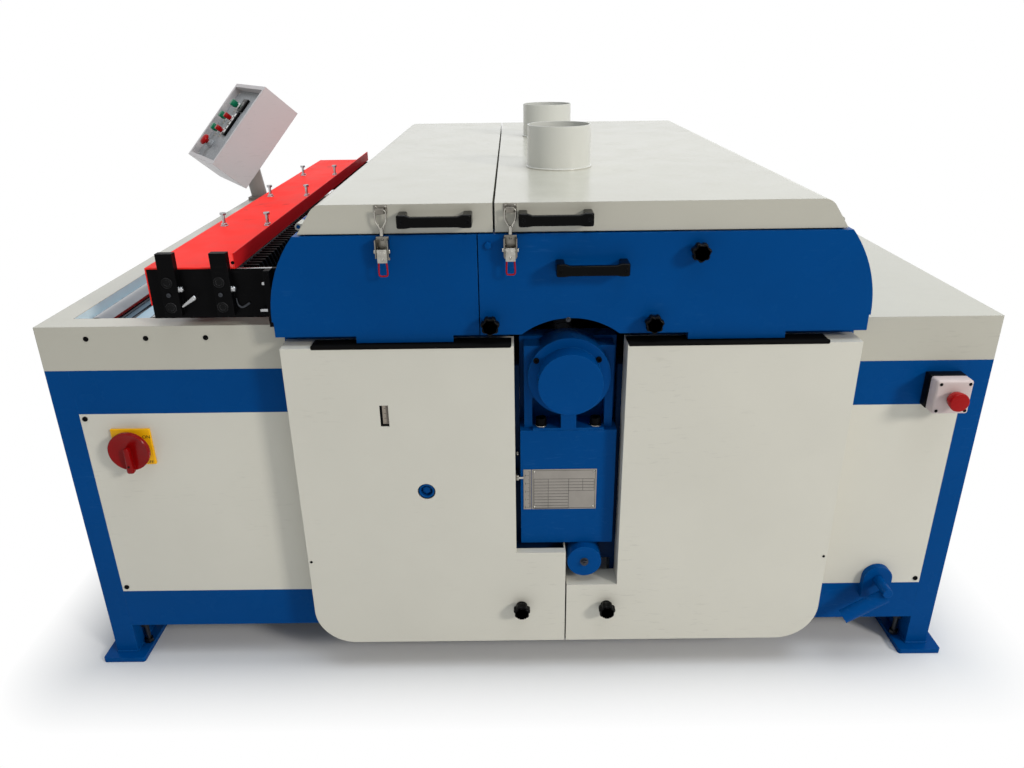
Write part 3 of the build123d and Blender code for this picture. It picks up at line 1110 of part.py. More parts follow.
def pressure_roller(side):
    """Sprung pressure roller above the feed roller."""
    x = SAW_AXIS_X + side * FEED_ROLLER_OFFSET
    half = CHEEK_Y - IDLER_END_GAP
    roller = rod_y(x, PRESSURE_ROLLER_Z, PRESSURE_ROLLER_R, (-half, half))
    journal = rod_y(x, PRESSURE_ROLLER_Z, PRESSURE_JOURNAL_R, (-CHEEK_Y - CHEEK, CHEEK_Y + CHEEK))
    return [roller + journal]


def pressure_beams():
    """Cheeks and cross beams that carry the pressure rollers."""
    solids = []
    for side in (-1, 1):
        x = SAW_AXIS_X + side * FEED_ROLLER_OFFSET
        low = PRESSURE_ROLLER_Z - PRESSURE_JOURNAL_R - CHEEK_MARGIN
        span = (-CHEEK_Y - CHEEK, -CHEEK_Y)
        cheek = slab(around(x, CHEEK_WIDTH), span, (low, CHEEK_TOP))
        cheek -= rod_y(x, PRESSURE_ROLLER_Z, PRESSURE_JOURNAL_R + RUNNING_GAP, span)
        beam = slab(around(x, BEAM_WIDTH), (-CHEEK_Y, CHEEK_Y), (CHEEK_TOP - BEAM_HEIGHT, CHEEK_TOP))
        solids += both_ends(cheek) + [beam]
    return solids


def drive_sprocket():
    """Gearmotor output shaft and sprocket."""
    span = around(CHAIN_Y, SPROCKET_WIDTH)
    start = span[0] - SPROCKET_WIDTH
    shaft = rod_y(GEARMOTOR_X, GEARMOTOR_Z, GEARBOX_SHAFT_R, (start - GEARBOX_SHAFT_R, span[1]))
    return [shaft + rod_y(GEARMOTOR_X, GEARMOTOR_Z, DRIVE_SPROCKET_R, span)]


def feed_drive():
    """Feed gearmotor on its shelf, and the chain round the three sprockets."""
    end = CHAIN_Y - SPROCKET_WIDTH * 3 / 2
    y = (end - GEARBOX_LENGTH, end)
    x = around(GEARMOTOR_X, GEARBOX_SIZE)
    z = around(GEARMOTOR_Z, GEARBOX_SIZE)
    motor_y = (y[0] - GEARMOTOR_LENGTH, y[0])
    gearbox = slab(x, y, z) + rod_y(GEARMOTOR_X, GEARMOTOR_Z, GEARMOTOR_R, motor_y)
    bore_y = (end - 2 * GEARBOX_SHAFT_R, end)
    gearbox -= rod_y(GEARMOTOR_X, GEARMOTOR_Z, GEARBOX_SHAFT_R + RUNNING_GAP, bore_y)
    rollers = [(SAW_AXIS_X + side * FEED_ROLLER_OFFSET, FEED_ROLLER_Z, SPROCKET_R) for side in (-1, 1)]
    sprockets = rollers + [(GEARMOTOR_X, GEARMOTOR_Z, DRIVE_SPROCKET_R)]
    chain = loop(sprockets, CHAIN_THICKNESS, around(CHAIN_Y, CHAIN_WIDTH))
    return [gearbox, chain]


def kickback_frame():
    """Side plates, end brackets, clamp bars and finger rod of the kickback unit."""
    plate_y_span = (-KICK_Y - KICK_PLATE, -KICK_Y)
    plate = slab((KICK_LEFT_X, BODY_LEFT_X), plate_y_span, (KICK_BOTTOM, KICK_TOP))
    plate -= rod_y(FINGER_ROD_X, FINGER_ROD_Z, FINGER_ROD_R + RUNNING_GAP, plate_y_span)
    bracket_end = SAW_AXIS_X - BODY_HALF - PANEL_GAP
    bracket_x = (bracket_end - KICK_BRACKET_WIDTH, bracket_end)
    bracket_y = (plate_y_span[0] - KICK_BRACKET_DEPTH, plate_y_span[0])
    bracket_z = (KICK_BOTTOM - KICK_BRACKET_DROP, KICK_TOP)
    solids = both_ends(plate) + both_ends(slab(bracket_x, bracket_y, bracket_z))
    for index in range(2):
        low = KICK_BAR_FIRST_X + index * KICK_BAR_PITCH
        bar_y = (plate_y_span[0] - KICK_BAR_DEPTH, plate_y_span[0])
        bar_x = (low, low + KICK_BAR_WIDTH)
        bar_foot = KICK_BOTTOM + KICK_BAR_LIFT
        solids.append(slab(bar_x, bar_y, (bar_foot, KICK_BAR_TOP)))
        solids.append(flip(slab(bar_x, bar_y, (bar_foot, KICK_TOP))))
    rod_end = KICK_Y + KICK_PLATE
    return solids + [rod_y(FINGER_ROD_X, FINGER_ROD_Z, FINGER_ROD_R, (-rod_end, rod_end))]


def kickback_fingers():
    """Row of flat fingers hanging from the rod, trailing in the feed direction."""
    turn = radians(FINGER_ANGLE)
    tip_x = FINGER_ROD_X + FINGER_LENGTH * cos(turn)
    tip_z = FINGER_ROD_Z - FINGER_LENGTH * sin(turn)
    top_x = FINGER_ROD_X - FINGER_TOP_BACK
    top_z = FINGER_ROD_Z + FINGER_TOP_RISE
    blade = make_face(Polyline(
        (top_x, top_z), (top_x + FINGER_TOP_WIDTH, top_z),
        (tip_x + FINGER_TIP, tip_z), (tip_x - FINGER_TIP, tip_z), close=True,
    ))
    outline = blade - disc(FINGER_ROD_X, FINGER_ROD_Z, FINGER_ROD_R + RUNNING_GAP)
    first = -FINGER_PITCH * (FINGER_COUNT - 1) / 2
    finger = plate_y(outline, around(first, FINGER_THICKNESS))
    return [Pos(0, index * FINGER_PITCH, 0) * finger for index in range(FINGER_COUNT)]


def red_cover():
    """Red cover over the kickback unit: a sheet with a flange down and a lip up."""
    y = (-KICK_Y - KICK_PLATE + PANEL_GAP, RED_REAR_Y)
    z = (KICK_TOP, KICK_TOP + RED_SHEET)
    sheet = slab((RED_LEFT_X, RED_RIGHT_X), y, z)
    flange = slab((RED_LEFT_X, RED_LEFT_X + RED_SHEET), y, (z[1] - RED_FLANGE, z[1]))
    lip = slab((RED_RIGHT_X - RED_SHEET, RED_RIGHT_X), y, (z[0], z[1] + RED_LIP))
    return [sheet + flange + lip]


def panel_place(row, column, height):
    """Place on the control box: row up its face, column away from the front, height off the face."""
    yaw = radians(BOX_YAW)
    tilt = radians(BOX_TILT)
    up = Vector(cos(yaw) * cos(tilt), sin(yaw) * cos(tilt), sin(tilt))
    normal = Vector(-cos(yaw) * sin(tilt), -sin(yaw) * sin(tilt), cos(tilt))
    face = Plane(origin=BOX_CENTRE, x_dir=up, z_dir=normal)
    return Location(face) * Pos(row, column, BOX_THICKNESS / 2 + height)


def button_places():
    """Push-button nodes and their places on the control panel."""
    return {
        "start_button": (START_BUTTON_ROW, START_BUTTON_COLUMN),
        "feed_start_button": (BUTTON_ROW_HIGH, BUTTON_COLUMN_GREEN),
        "feed_stop_button": (BUTTON_ROW_HIGH, BUTTON_COLUMN_RED),
        "saw_start_button": (BUTTON_ROW_LOW, BUTTON_COLUMN_GREEN),
        "saw_stop_button": (BUTTON_ROW_LOW, BUTTON_COLUMN_RED),
    }


def control_box():
    """Hollow control box with a recessed panel that has a hole for each button stem."""
    depth = BOX_RECESS + BOX_PANEL
    shell = panel_place(0, 0, -BOX_THICKNESS / 2) * Box(BOX_LENGTH, BOX_WIDTH, BOX_THICKNESS)
    mouth = (BOX_LENGTH - 2 * BOX_RIM, BOX_WIDTH - 2 * BOX_RIM)
    shell -= panel_place(0, 0, -depth / 2) * Box(mouth[0], mouth[1], depth)
    cavity = BOX_THICKNESS - depth - BOX_SHEET
    inner = (mouth[0] - 2 * BOX_LEDGE, mouth[1] - 2 * BOX_LEDGE)
    shell -= panel_place(0, 0, -depth - cavity / 2) * Box(inner[0], inner[1], cavity)
    middle = -depth + BOX_PANEL / 2
    panel = panel_place(0, 0, middle) * Box(mouth[0] - 2 * SWING_GAP, mouth[1] - 2 * SWING_GAP, BOX_PANEL)
    places = list(button_places().values()) + [(PANEL_STOP_ROW, PANEL_STOP_COLUMN)]
    for row, column in places:
        panel -= panel_place(row, column, middle) * Cylinder(BUTTON_STEM_R + RUNNING_GAP, BOX_PANEL)
    seat = -BOX_RECESS + METER_HEIGHT / 2
    meter = panel_place(METER_ROW, METER_COLUMN, seat) * Box(METER_LENGTH, METER_WIDTH, METER_HEIGHT)
    gauge = panel_place(GAUGE_ROW, METER_COLUMN, seat) * Box(GAUGE_SIZE, GAUGE_SIZE, METER_HEIGHT)
    return [shell, panel, meter, gauge]


def push_button(row, column):
    """Push-button: a cap standing off the panel on its stem."""
    base = -BOX_RECESS + BUTTON_STANDOFF
    cap = panel_place(row, column, base + BUTTON_HEIGHT / 2) * Cylinder(BUTTON_R, BUTTON_HEIGHT)
    stem_length = BUTTON_STANDOFF + BUTTON_STEM_LENGTH
    stem = panel_place(row, column, base - stem_length / 2) * Cylinder(BUTTON_STEM_R, stem_length)
    return [cap + stem]


def panel_stop():
    """Mushroom stop button of the control panel."""
    base = -BOX_RECESS + PANEL_STOP_STANDOFF
    head_place = panel_place(PANEL_STOP_ROW, PANEL_STOP_COLUMN, base + MUSHROOM_HEIGHT / 2)
    head = head_place * Cylinder(MUSHROOM_R, MUSHROOM_HEIGHT)
    length = PANEL_STOP_STANDOFF + BUTTON_STEM_LENGTH
    stem = panel_place(PANEL_STOP_ROW, PANEL_STOP_COLUMN, base - length / 2) * Cylinder(BUTTON_STEM_R, length)
    return [head + stem]


def control_post():
    """Leaning post from a flange on the table to the back of the control box."""
    foot_z = TABLE_HEIGHT + POST_FLANGE_THICKNESS
    flange = slab(around(POST_FOOT_X, POST_FLANGE), around(POST_FOOT_Y, POST_FLANGE), (TABLE_HEIGHT, foot_z))
    start = Vector(POST_FOOT_X, POST_FOOT_Y, foot_z)
    lean = Vector(POST_LEAN_X, 0, POST_LEAN_Z)
    reach = 2 * lean.length
    post = Location(Plane(origin=start, z_dir=lean)) * Pos(0, 0, reach / 2) * Cylinder(POST_R, reach)
    above = (foot_z, foot_z + 2 * reach)
    post = post & slab(around(POST_FOOT_X, 2 * reach), around(POST_FOOT_Y, 2 * reach), above)
    behind = panel_place(0, 0, -BOX_THICKNESS + 2 * reach) * Box(4 * reach, 4 * reach, 4 * reach)
    return [flange + (post - behind)]


def switch_plate():
    """Yellow plate of the main switch, on the left front panel."""
    y = (FRONT_Y - SWITCH_PLATE_THICKNESS, FRONT_Y)
    plate = slab(around(SWITCH_X, SWITCH_PLATE), y, around(SWITCH_Z, SWITCH_PLATE))
    return [plate - rod_y(SWITCH_X, SWITCH_Z, SWITCH_SPINDLE_R + RUNNING_GAP, y)]


def switch_knob():
    """Round main switch handle with a pointed grip across it."""
    face = FRONT_Y - SWITCH_PLATE_THICKNESS - SWING_GAP
    round_y = (face - SWITCH_KNOB_HEIGHT, face)
    knob = rod_y(SWITCH_X, SWITCH_Z, SWITCH_KNOB_R, round_y)
    grip_y = (round_y[0] - SWITCH_GRIP_HEIGHT, round_y[0])
    grip = slab(around(SWITCH_X, SWITCH_GRIP_WIDTH), grip_y, around(SWITCH_Z, SWITCH_GRIP_LENGTH))
    grip = fillet(grip.edges().filter_by(Axis.Y), SWITCH_GRIP_WIDTH / 3)
    spindle = rod_y(SWITCH_X, SWITCH_Z, SWITCH_SPINDLE_R, (face, FRONT_Y))
    return [knob + grip + spindle]


def stop_box():
    """Stop button box on the right end of the front rail."""
    y = (FRONT_Y - STOP_BOX_BASE - STOP_BOX_COVER, FRONT_Y)
    box = slab(around(STOP_BOX_X, STOP_BOX_WIDTH), y, around(STOP_BOX_Z, STOP_BOX_HEIGHT))
    hole_y = (y[0], y[0] + STOP_STEM_SEAT)
    return [box - rod_y(STOP_BOX_X, STOP_BOX_Z, STOP_STEM_R + RUNNING_GAP, hole_y)]


def stop_button():
    """Mushroom of the stop button box on its stem."""
    face = FRONT_Y - STOP_BOX_BASE - STOP_BOX_COVER
    head_y = (face - STOP_STEM_REACH - MUSHROOM_HEIGHT, face - STOP_STEM_REACH)
    head = rod_y(STOP_BOX_X, STOP_BOX_Z, MUSHROOM_R, head_y)
    return [head + rod_y(STOP_BOX_X, STOP_BOX_Z, STOP_STEM_R, (head_y[1], face + STOP_STEM_SEAT / 2))]


def build():
    """Write every node."""
    os.makedirs("parts", exist_ok=True)
    knob_end = FRONT_Y - SWING_GAP
    nodes = {
        "base_frame": base_frame(),
        "levelling_screws": levelling_screws(),
        "frame_panels": frame_panels(),
        "infeed_table": infeed_table(),
        "bed_plates": bed_plates(),
        "outfeed_table": outfeed_table(),
        "saw_body": saw_body(),
        "end_covers": end_covers(),
        "left_latch_base": [latch_base(LEFT_LATCH_X)],
        "right_latch_base": [latch_base(RIGHT_LATCH_X)],
        "kickback_frame": kickback_frame(),
        "kickback_fingers": kickback_fingers(),
        "red_cover": red_cover(),
        "control_post": control_post(),
        "control_box": control_box(),
        "panel_stop": panel_stop(),
        "switch_plate": switch_plate(),
        "switch_knob": switch_knob(),
        "stop_box": stop_box(),
        "stop_button": stop_button(),
        "left_lid": [lid(-1)],
        "right_lid": right_lid(),
        "left_lid_handle": [bridge_handle(LEFT_HANDLE_X, LID_HANDLE_Z, LID_FRONT_Y)],
        "right_lid_handle": [bridge_handle(RIGHT_HANDLE_X, LID_HANDLE_Z, LID_FRONT_Y)],
        "left_latch_bail": [latch_bail(LEFT_LATCH_X)],
        "right_latch_bail": [latch_bail(RIGHT_LATCH_X)],
        "left_latch_lever": [latch_lever(LEFT_LATCH_X)],
        "right_latch_lever": [latch_lever(RIGHT_LATCH_X)],
        "access_cover": access_cover(),
        "cover_handle": [bridge_handle(COVER_HANDLE_X, COVER_HANDLE_Z, COVER_FRONT_Y)],
        "cover_knobs": [star_knob(x, z, COVER_FRONT_Y, knob_end) for x, z in cover_knob_places()],
        "left_door": door(-1),
        "right_door": door(1),
        "left_door_knob": [star_knob(DOOR_KNOB_LEFT_X, DOOR_KNOB_Z, DOOR_FRONT_Y, knob_end)],
        "right_door_knob": [star_knob(DOOR_KNOB_RIGHT_X, DOOR_KNOB_Z, DOOR_FRONT_Y, knob_end)],
        "adjusting_shaft": adjusting_shaft(),
        "lift_roller": lift_roller(),
        "lift_lever": lift_lever(),
        "bearing_columns": bearing_columns(),
        "bearing_housings": bearing_housings(),
        "saw_arbor": saw_arbor(),
        "saw_blades": saw_blades(),
        "main_motor": main_motor(),
        "motor_pulley": motor_pulley(),
        "drive_belt": drive_belt(),
        "infeed_feed_roller": feed_roller(-1),
        "outfeed_feed_roller": feed_roller(1),
        "infeed_pressure_roller": pressure_roller(-1),
        "outfeed_pressure_roller": pressure_roller(1),
        "pressure_beams": pressure_beams(),
        "feed_drive": feed_drive(),
        "drive_sprocket": drive_sprocket(),
    }
    for index in range(3):
        nodes[f"idler_roller_{index + 1}"] = [idler(index)]
    for name, (row, column) in button_places().items():
        nodes[name] = push_button(row, column)
    for name, solids in nodes.items():
        save(name, solids)


build()
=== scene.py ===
"""Multi-rip saw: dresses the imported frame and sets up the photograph's view of it."""
import json
import logging
from collections.abc import Sequence
from dataclasses import dataclass, replace
from enum import Enum
from functools import cache
from math import cos, pi, radians, sin

import bmesh
import bpy
from bmesh.types import BMEdge, BMesh, BMFace, BMVert
from bpy.types import ID, Curve, Material, Node, NodeOutputs, NodeSocket, NodeTree, Object
from mathutils import Matrix, Vector


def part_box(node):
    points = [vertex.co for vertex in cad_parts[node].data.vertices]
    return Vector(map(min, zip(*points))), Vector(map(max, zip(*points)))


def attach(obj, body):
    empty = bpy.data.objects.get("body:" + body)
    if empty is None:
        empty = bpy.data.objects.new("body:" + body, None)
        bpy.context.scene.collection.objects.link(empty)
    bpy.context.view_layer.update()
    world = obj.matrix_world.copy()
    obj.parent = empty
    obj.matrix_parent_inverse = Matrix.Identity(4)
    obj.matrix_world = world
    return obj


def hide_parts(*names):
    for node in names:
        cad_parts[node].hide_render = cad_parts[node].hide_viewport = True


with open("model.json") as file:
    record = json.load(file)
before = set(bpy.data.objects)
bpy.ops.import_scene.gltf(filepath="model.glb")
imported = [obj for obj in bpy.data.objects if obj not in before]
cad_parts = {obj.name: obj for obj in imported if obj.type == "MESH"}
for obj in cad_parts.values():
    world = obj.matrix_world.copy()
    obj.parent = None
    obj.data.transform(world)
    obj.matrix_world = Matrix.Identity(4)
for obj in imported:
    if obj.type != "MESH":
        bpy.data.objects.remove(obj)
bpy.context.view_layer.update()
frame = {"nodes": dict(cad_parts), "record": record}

LOG = logging.getLogger("multi_rip_saw")
MILLIMETRE = 0.001
SHARP_ANGLE = radians(34)
MERGE_GAP = 0.001
BEVEL_SAMPLES = 4
WEAR_AND_SHEEN_WIDTH = 1.5
SOCKET_KINDS = {1: "NodeSocketFloat", 3: "NodeSocketVector", 4: "NodeSocketColor"}
RIVET = ((0, 1.7), (1.9, 1.3), (3.0, 0))
SIDES = ("left", "right")

Pair = tuple[float, float]
Point = tuple[float, float, float]
Tint = tuple[float, float, float]
Frame = tuple[float, float, float, float]


def tint(*display: int) -> Tint:
    """Turns red, green and blue display values, 0 to 255, into the linear ones that shaders take."""
    shares = [value / 255 for value in display]
    return tuple(part / 12.92 if part <= 0.04045 else ((part + 0.055) / 1.055) ** 2.4 for part in shares)


def span(node: str) -> tuple[Vector, Vector]:
    """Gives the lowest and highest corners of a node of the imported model, in millimetres."""
    low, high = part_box(node)
    return low / MILLIMETRE, high / MILLIMETRE


def middle(node: str) -> Vector:
    """Gives the middle of a node's box, in millimetres."""
    low, high = span(node)
    return (low + high) / 2


def put(name: str, data: ID) -> Object:
    """Puts a new object in the scene.

    Args:
        name: the object's name.
        data: its mesh, curve, light or camera.

    Returns:
        The object.
    """
    made = bpy.data.objects.new(name, data)
    bpy.context.scene.collection.objects.link(made)
    return made


class Grain(Enum):
    """Fine relief of a surface, as its stretch along the axes."""

    EVEN = (1.0, 1.0, 1.0)
    TURNED = (0.02, 1.0, 0.02)
    BRUSHED = (0.03, 1.0, 1.0)


class Out(Enum):
    """Side that a fitting faces, as its local X and Z directions."""

    FRONT = ((1, 0, 0), (0, -1, 0))
    REAR = ((-1, 0, 0), (0, 1, 0))
    LEFT = ((0, -1, 0), (-1, 0, 0))
    RIGHT = ((0, 1, 0), (1, 0, 0))
    UP = ((1, 0, 0), (0, 0, 1))


def framed(point: Point | Vector, along: Vector, normal: Vector) -> Matrix:
    """Gives the place with its foot at a point, from its local X and Z directions."""
    turn = Matrix((along, normal.cross(along), normal)).transposed().to_4x4()
    return Matrix.Translation(Vector(point)) @ turn


def facing(point: Point | Vector, out: Out, turn: float = 0.0) -> Matrix:
    """Gives the place of a fitting on a face, turned about its own axis by some degrees."""
    return framed(point, *map(Vector, out.value)) @ Matrix.Rotation(radians(turn), 4, "Z")


class NodePen:
    """Draws nodes and links in one shader tree."""

    def __init__(self, tree: NodeTree) -> None:
        """Keeps the tree to draw in."""
        self.tree = tree

    def feed(self, node: Node, inputs: dict[str | int, object]) -> None:
        """Feeds inputs of a node.

        Args:
            node: the node.
            inputs: a socket to link or a value to set, by each input's name or number.
        """
        for key, value in inputs.items():
            if isinstance(value, NodeSocket):
                self.tree.links.new(value, node.inputs[key])
            else:
                node.inputs[key].default_value = value

    def node(self, kind: str, inputs: dict[str | int, object] | None = None, **settings: object) -> Node:
        """Adds a node.

        Args:
            kind: the node's type name.
            inputs: what feeds its inputs, by their names or numbers.
            settings: properties to set on it.

        Returns:
            The new node.
        """
        made = self.tree.nodes.new(kind)
        for name, value in settings.items():
            setattr(made, name, value)
        self.feed(made, inputs or {})
        return made

    def place(self) -> NodeSocket:
        """Adds the object's own coordinates."""
        return self.node("ShaderNodeTexCoord").outputs["Object"]

    def maths(self, operation: str, first: NodeSocket, second: NodeSocket | float) -> NodeSocket:
        """Does a sum with two values."""
        return self.node("ShaderNodeMath", {0: first, 1: second}, operation=operation).outputs[0]

    def vector(self, operation: str, *terms: NodeSocket, result: str = "Vector", **inputs: NodeSocket) -> NodeSocket:
        """Does a sum with vectors and inputs by name, and gives the result of that name."""
        fed = {**dict(enumerate(terms)), **inputs}
        return self.node("ShaderNodeVectorMath", fed, operation=operation).outputs[result]

    def noise(self, place: NodeSocket, scale: NodeSocket | float, **inputs: float) -> NodeSocket:
        """Adds a noise of some scale, with its other inputs by name."""
        return self.node("ShaderNodeTexNoise", {"Vector": place, "Scale": scale, **inputs}).outputs[0]

    def mapped(self, value: NodeSocket, source: Pair, target: Pair = (0.0, 1.0)) -> NodeSocket:
        """Maps a value from one range to another and clamps it."""
        return self.node("ShaderNodeMapRange", dict(enumerate((value, *source, *target)))).outputs[0]

    def blend(self, mask: NodeSocket, below: NodeSocket, above: Tint) -> NodeSocket:
        """Lays a plain colour over another one through a mask."""
        made = self.node("ShaderNodeMix", {"Factor": mask, "A": below, "B": (*above, 1.0)}, data_type="RGBA")
        return made.outputs["Result"]

    def choice(self, share: NodeSocket, first: Node, second: Node, output: Node) -> None:
        """Mixes two shaders, the second by its share, and leads them to an output node's surface."""
        mix = self.node("ShaderNodeMixShader", {0: share, 1: first.outputs[0], 2: second.outputs[0]})
        self.feed(output, {"Surface": mix.outputs[0]})

    def group(self, tree: NodeTree, **inputs: object) -> NodeSocket:
        """Places a node group with its inputs by name."""
        return self.node("ShaderNodeGroup", inputs, node_tree=tree).outputs[0]

    def end(self, result: NodeSocket) -> NodeTree:
        """Ends a node group with its result and gives its tree."""
        self.node("NodeGroupOutput", {0: result})
        return self.tree


class Effects:
    """Node groups that several finishes share, each built once."""

    @staticmethod
    def _start(name: str, output: str, **inputs: float | tuple[float, ...]) -> tuple[NodePen, NodeOutputs]:
        """Begins a group with its sockets.

        Args:
            name: the group's name.
            output: name of its output, which is a colour if it is called one.
            inputs: default of each input, by its name.

        Returns:
            A pen in the group and the sockets that its inputs come from.
        """
        pen = NodePen(bpy.data.node_groups.new(name, "ShaderNodeTree"))
        for label, default in inputs.items():
            kind = SOCKET_KINDS[len(default) if isinstance(default, tuple) else 1]
            pen.tree.interface.new_socket(label, in_out="INPUT", socket_type=kind).default_value = default
        kind = SOCKET_KINDS[4 if output == "Colour" else 1]
        pen.tree.interface.new_socket(output, in_out="OUTPUT", socket_type=kind)
        return pen, pen.node("NodeGroupInput").outputs

    @classmethod
    @cache
    def soft_mottle(cls) -> NodeTree:
        """Varies a colour in soft clouds.

        Returns:
            The group.
        """
        pen, given = cls._start("soft_mottle", "Colour", Colour=(1, 1, 1, 1), Scale=5.0, Amount=0.05)
        clouds = pen.noise(pen.place(), given["Scale"], Detail=5.0, Roughness=0.6)
        signed = pen.mapped(clouds, (0.3, 0.7), (-1.0, 1.0))
        level = pen.maths("ADD", pen.maths("MULTIPLY", signed, given["Amount"]), 1.0)
        return pen.end(pen.vector("SCALE", given["Colour"], Scale=level))

    @classmethod
    @cache
    def fine_grain(cls) -> NodeTree:
        """Makes a fine relief, stretched along the axes.

        Returns:
            The group.
        """
        pen, given = cls._start("fine_grain", "Height", Stretch=(1, 1, 1), Scale=300.0)
        stretched = pen.vector("MULTIPLY", pen.place(), given["Stretch"])
        return pen.end(pen.noise(stretched, given["Scale"], Detail=3.0))

    @classmethod
    @cache
    def edge_wear(cls) -> NodeTree:
        """Finds edges for wear and for a painted sheen, broken up by a patchy noise.

        Returns:
            The group.
        """
        pen, given = cls._start("edge_wear", "Mask", Width=0.002, Amount=0.3)
        rounded = pen.node("ShaderNodeBevel", {"Radius": given["Width"]}, samples=BEVEL_SAMPLES).outputs[0]
        flat = pen.node("ShaderNodeNewGeometry").outputs["Normal"]
        edge = pen.mapped(pen.vector("DOT_PRODUCT", rounded, flat, result="Value"), (0.97, 0.75))
        broken = pen.mapped(pen.noise(pen.place(), 60.0, Detail=6.0), (0.42, 0.6))
        return pen.end(pen.maths("MULTIPLY", pen.maths("MULTIPLY", edge, broken), given["Amount"]))

    @classmethod
    @cache
    def scuffs(cls) -> NodeTree:
        """Finds sparse scuffs: short streaks, gathered in patches.

        Returns:
            The group.
        """
        pen, given = cls._start("scuffs", "Mask", Scale=30.0, Amount=0.3)
        slant = {"Vector": pen.place(), "Rotation": (0.3, 0.5, 0.2), "Scale": (1.0, 1.0, 6.0)}
        lean = pen.node("ShaderNodeMapping", slant).outputs[0]
        fine = pen.mapped(pen.noise(lean, given["Scale"], Detail=4.0), (0.6, 0.72))
        gathered = pen.mapped(pen.noise(pen.place(), 3.0), (0.5, 0.65))
        return pen.end(pen.maths("MULTIPLY", pen.maths("MULTIPLY", fine, gathered), given["Amount"]))

    @classmethod
    @cache
    def box_mask(cls) -> NodeTree:
        """Makes a mask that is one inside a box and fades to nothing over a soft margin round it.

        Returns:
            The group.
        """
        pen, given = cls._start("box_mask", "Mask", Centre=(0, 0, 0), Half=(1, 1, 1), Soft=0.01)
        away = pen.vector("ABSOLUTE", pen.vector("SUBTRACT", pen.place(), given["Centre"]))
        past = pen.vector("MAXIMUM", pen.vector("SUBTRACT", away, given["Half"]))
        share = pen.maths("DIVIDE", pen.vector("LENGTH", past, result="Value"), given["Soft"])
        return pen.end(pen.mapped(share, (0.0, 1.0), (1.0, 0.0)))

    @classmethod
    def within(cls, pen: NodePen, low: Point | Vector, high: Point | Vector, margin: float) -> NodeSocket:
        """Places the mask of a box in a material, all sizes in millimetres."""
        start, end, soft = Vector(low) * MILLIMETRE, Vector(high) * MILLIMETRE, margin * MILLIMETRE
        return pen.group(cls.box_mask(), Centre=(start + end) / 2, Half=(end - start) / 2, Soft=soft)


@dataclass(frozen=True)
class Patch:
    """Box in which a finish has another colour, in millimetres; each one here paints light or shade into a finish."""

    low: Point
    high: Point
    colour: Tint
    amount: float = 0.9
    margin: float = 6.0

    def mask(self, pen: NodePen) -> NodeSocket:
        """Draws the box's mask, as strong as the patch is."""
        return pen.maths("MULTIPLY", Effects.within(pen, self.low, self.high, self.margin), self.amount)


@dataclass(frozen=True)
class Finish:
    """A surface finish and the detail that the real one shows."""

    name: str
    colour: Tint
    roughness: float
    slot: str = ""
    metallic: float = 0.0
    specular: float = 0.5
    mottle: float = 0.04
    mottle_scale: float = 40.0
    grain: Grain = Grain.EVEN
    grain_scale: float = 320.0
    grain_depth: float = 0.00003
    roughness_spread: float = 0.05
    wear: float = 0.0
    wear_colour: Tint = (0.5, 0.5, 0.5)
    scuff: float = 0.0
    scuff_colour: Tint = (0.1, 0.1, 0.1)
    edge: float = 0.0008
    patch: Patch | None = None

    @cache
    def material(self) -> Material:
        """Gives the finish's material, built the first time it is asked for.

        Returns:
            The material.
        """
        made = bpy.data.materials.new(f"{self.name}_finish")
        made.use_nodes = True
        made.diffuse_color = (*self.colour, 1.0)
        pen = NodePen(made.node_tree)
        shader = made.node_tree.nodes["Principled BSDF"]
        pen.feed(shader, {"Metallic": self.metallic, "Specular IOR Level": self.specular})
        pen.feed(shader, {"Base Color": self._colour(pen), "Roughness": self._gloss(pen), "Normal": self._relief(pen)})
        return made

    def _colour(self, pen: NodePen) -> NodeSocket:
        """Draws the base colour: the tint in soft clouds, then scuffs, edges for wear and painted sheen, and a patch of
        painted light or shade.

        Args:
            pen: the material's pen.

        Returns:
            The colour.
        """
        clouds = {"Colour": (*self.colour, 1.0), "Scale": self.mottle_scale, "Amount": self.mottle}
        colour = pen.group(Effects.soft_mottle(), **clouds)
        if self.scuff:
            colour = pen.blend(pen.group(Effects.scuffs(), Amount=self.scuff), colour, self.scuff_colour)
        if self.wear:
            rub_and_sheen = pen.group(Effects.edge_wear(), Width=WEAR_AND_SHEEN_WIDTH * self.edge, Amount=self.wear)
            colour = pen.blend(rub_and_sheen, colour, self.wear_colour)
        if self.patch:
            colour = pen.blend(self.patch.mask(pen), colour, self.patch.colour)
        return colour

    def _gloss(self, pen: NodePen) -> NodeSocket:
        """Draws the roughness, smudged a little over the surface."""
        low, high = self.roughness - self.roughness_spread, self.roughness + self.roughness_spread
        return pen.mapped(pen.noise(pen.place(), 14.0, Detail=6.0), (0.3, 0.7), (low, high))

    def _relief(self, pen: NodePen) -> NodeSocket:
        """Draws the normal: rounded edges under the finish's own grain.

        Args:
            pen: the material's pen.

        Returns:
            The normal.
        """
        rounded = pen.node("ShaderNodeBevel", {"Radius": self.edge}, samples=BEVEL_SAMPLES).outputs[0]
        grain = pen.group(Effects.fine_grain(), Stretch=self.grain.value, Scale=self.grain_scale)
        relief = {"Distance": self.grain_depth, "Height": grain, "Normal": rounded}
        return pen.node("ShaderNodeBump", relief).outputs[0]
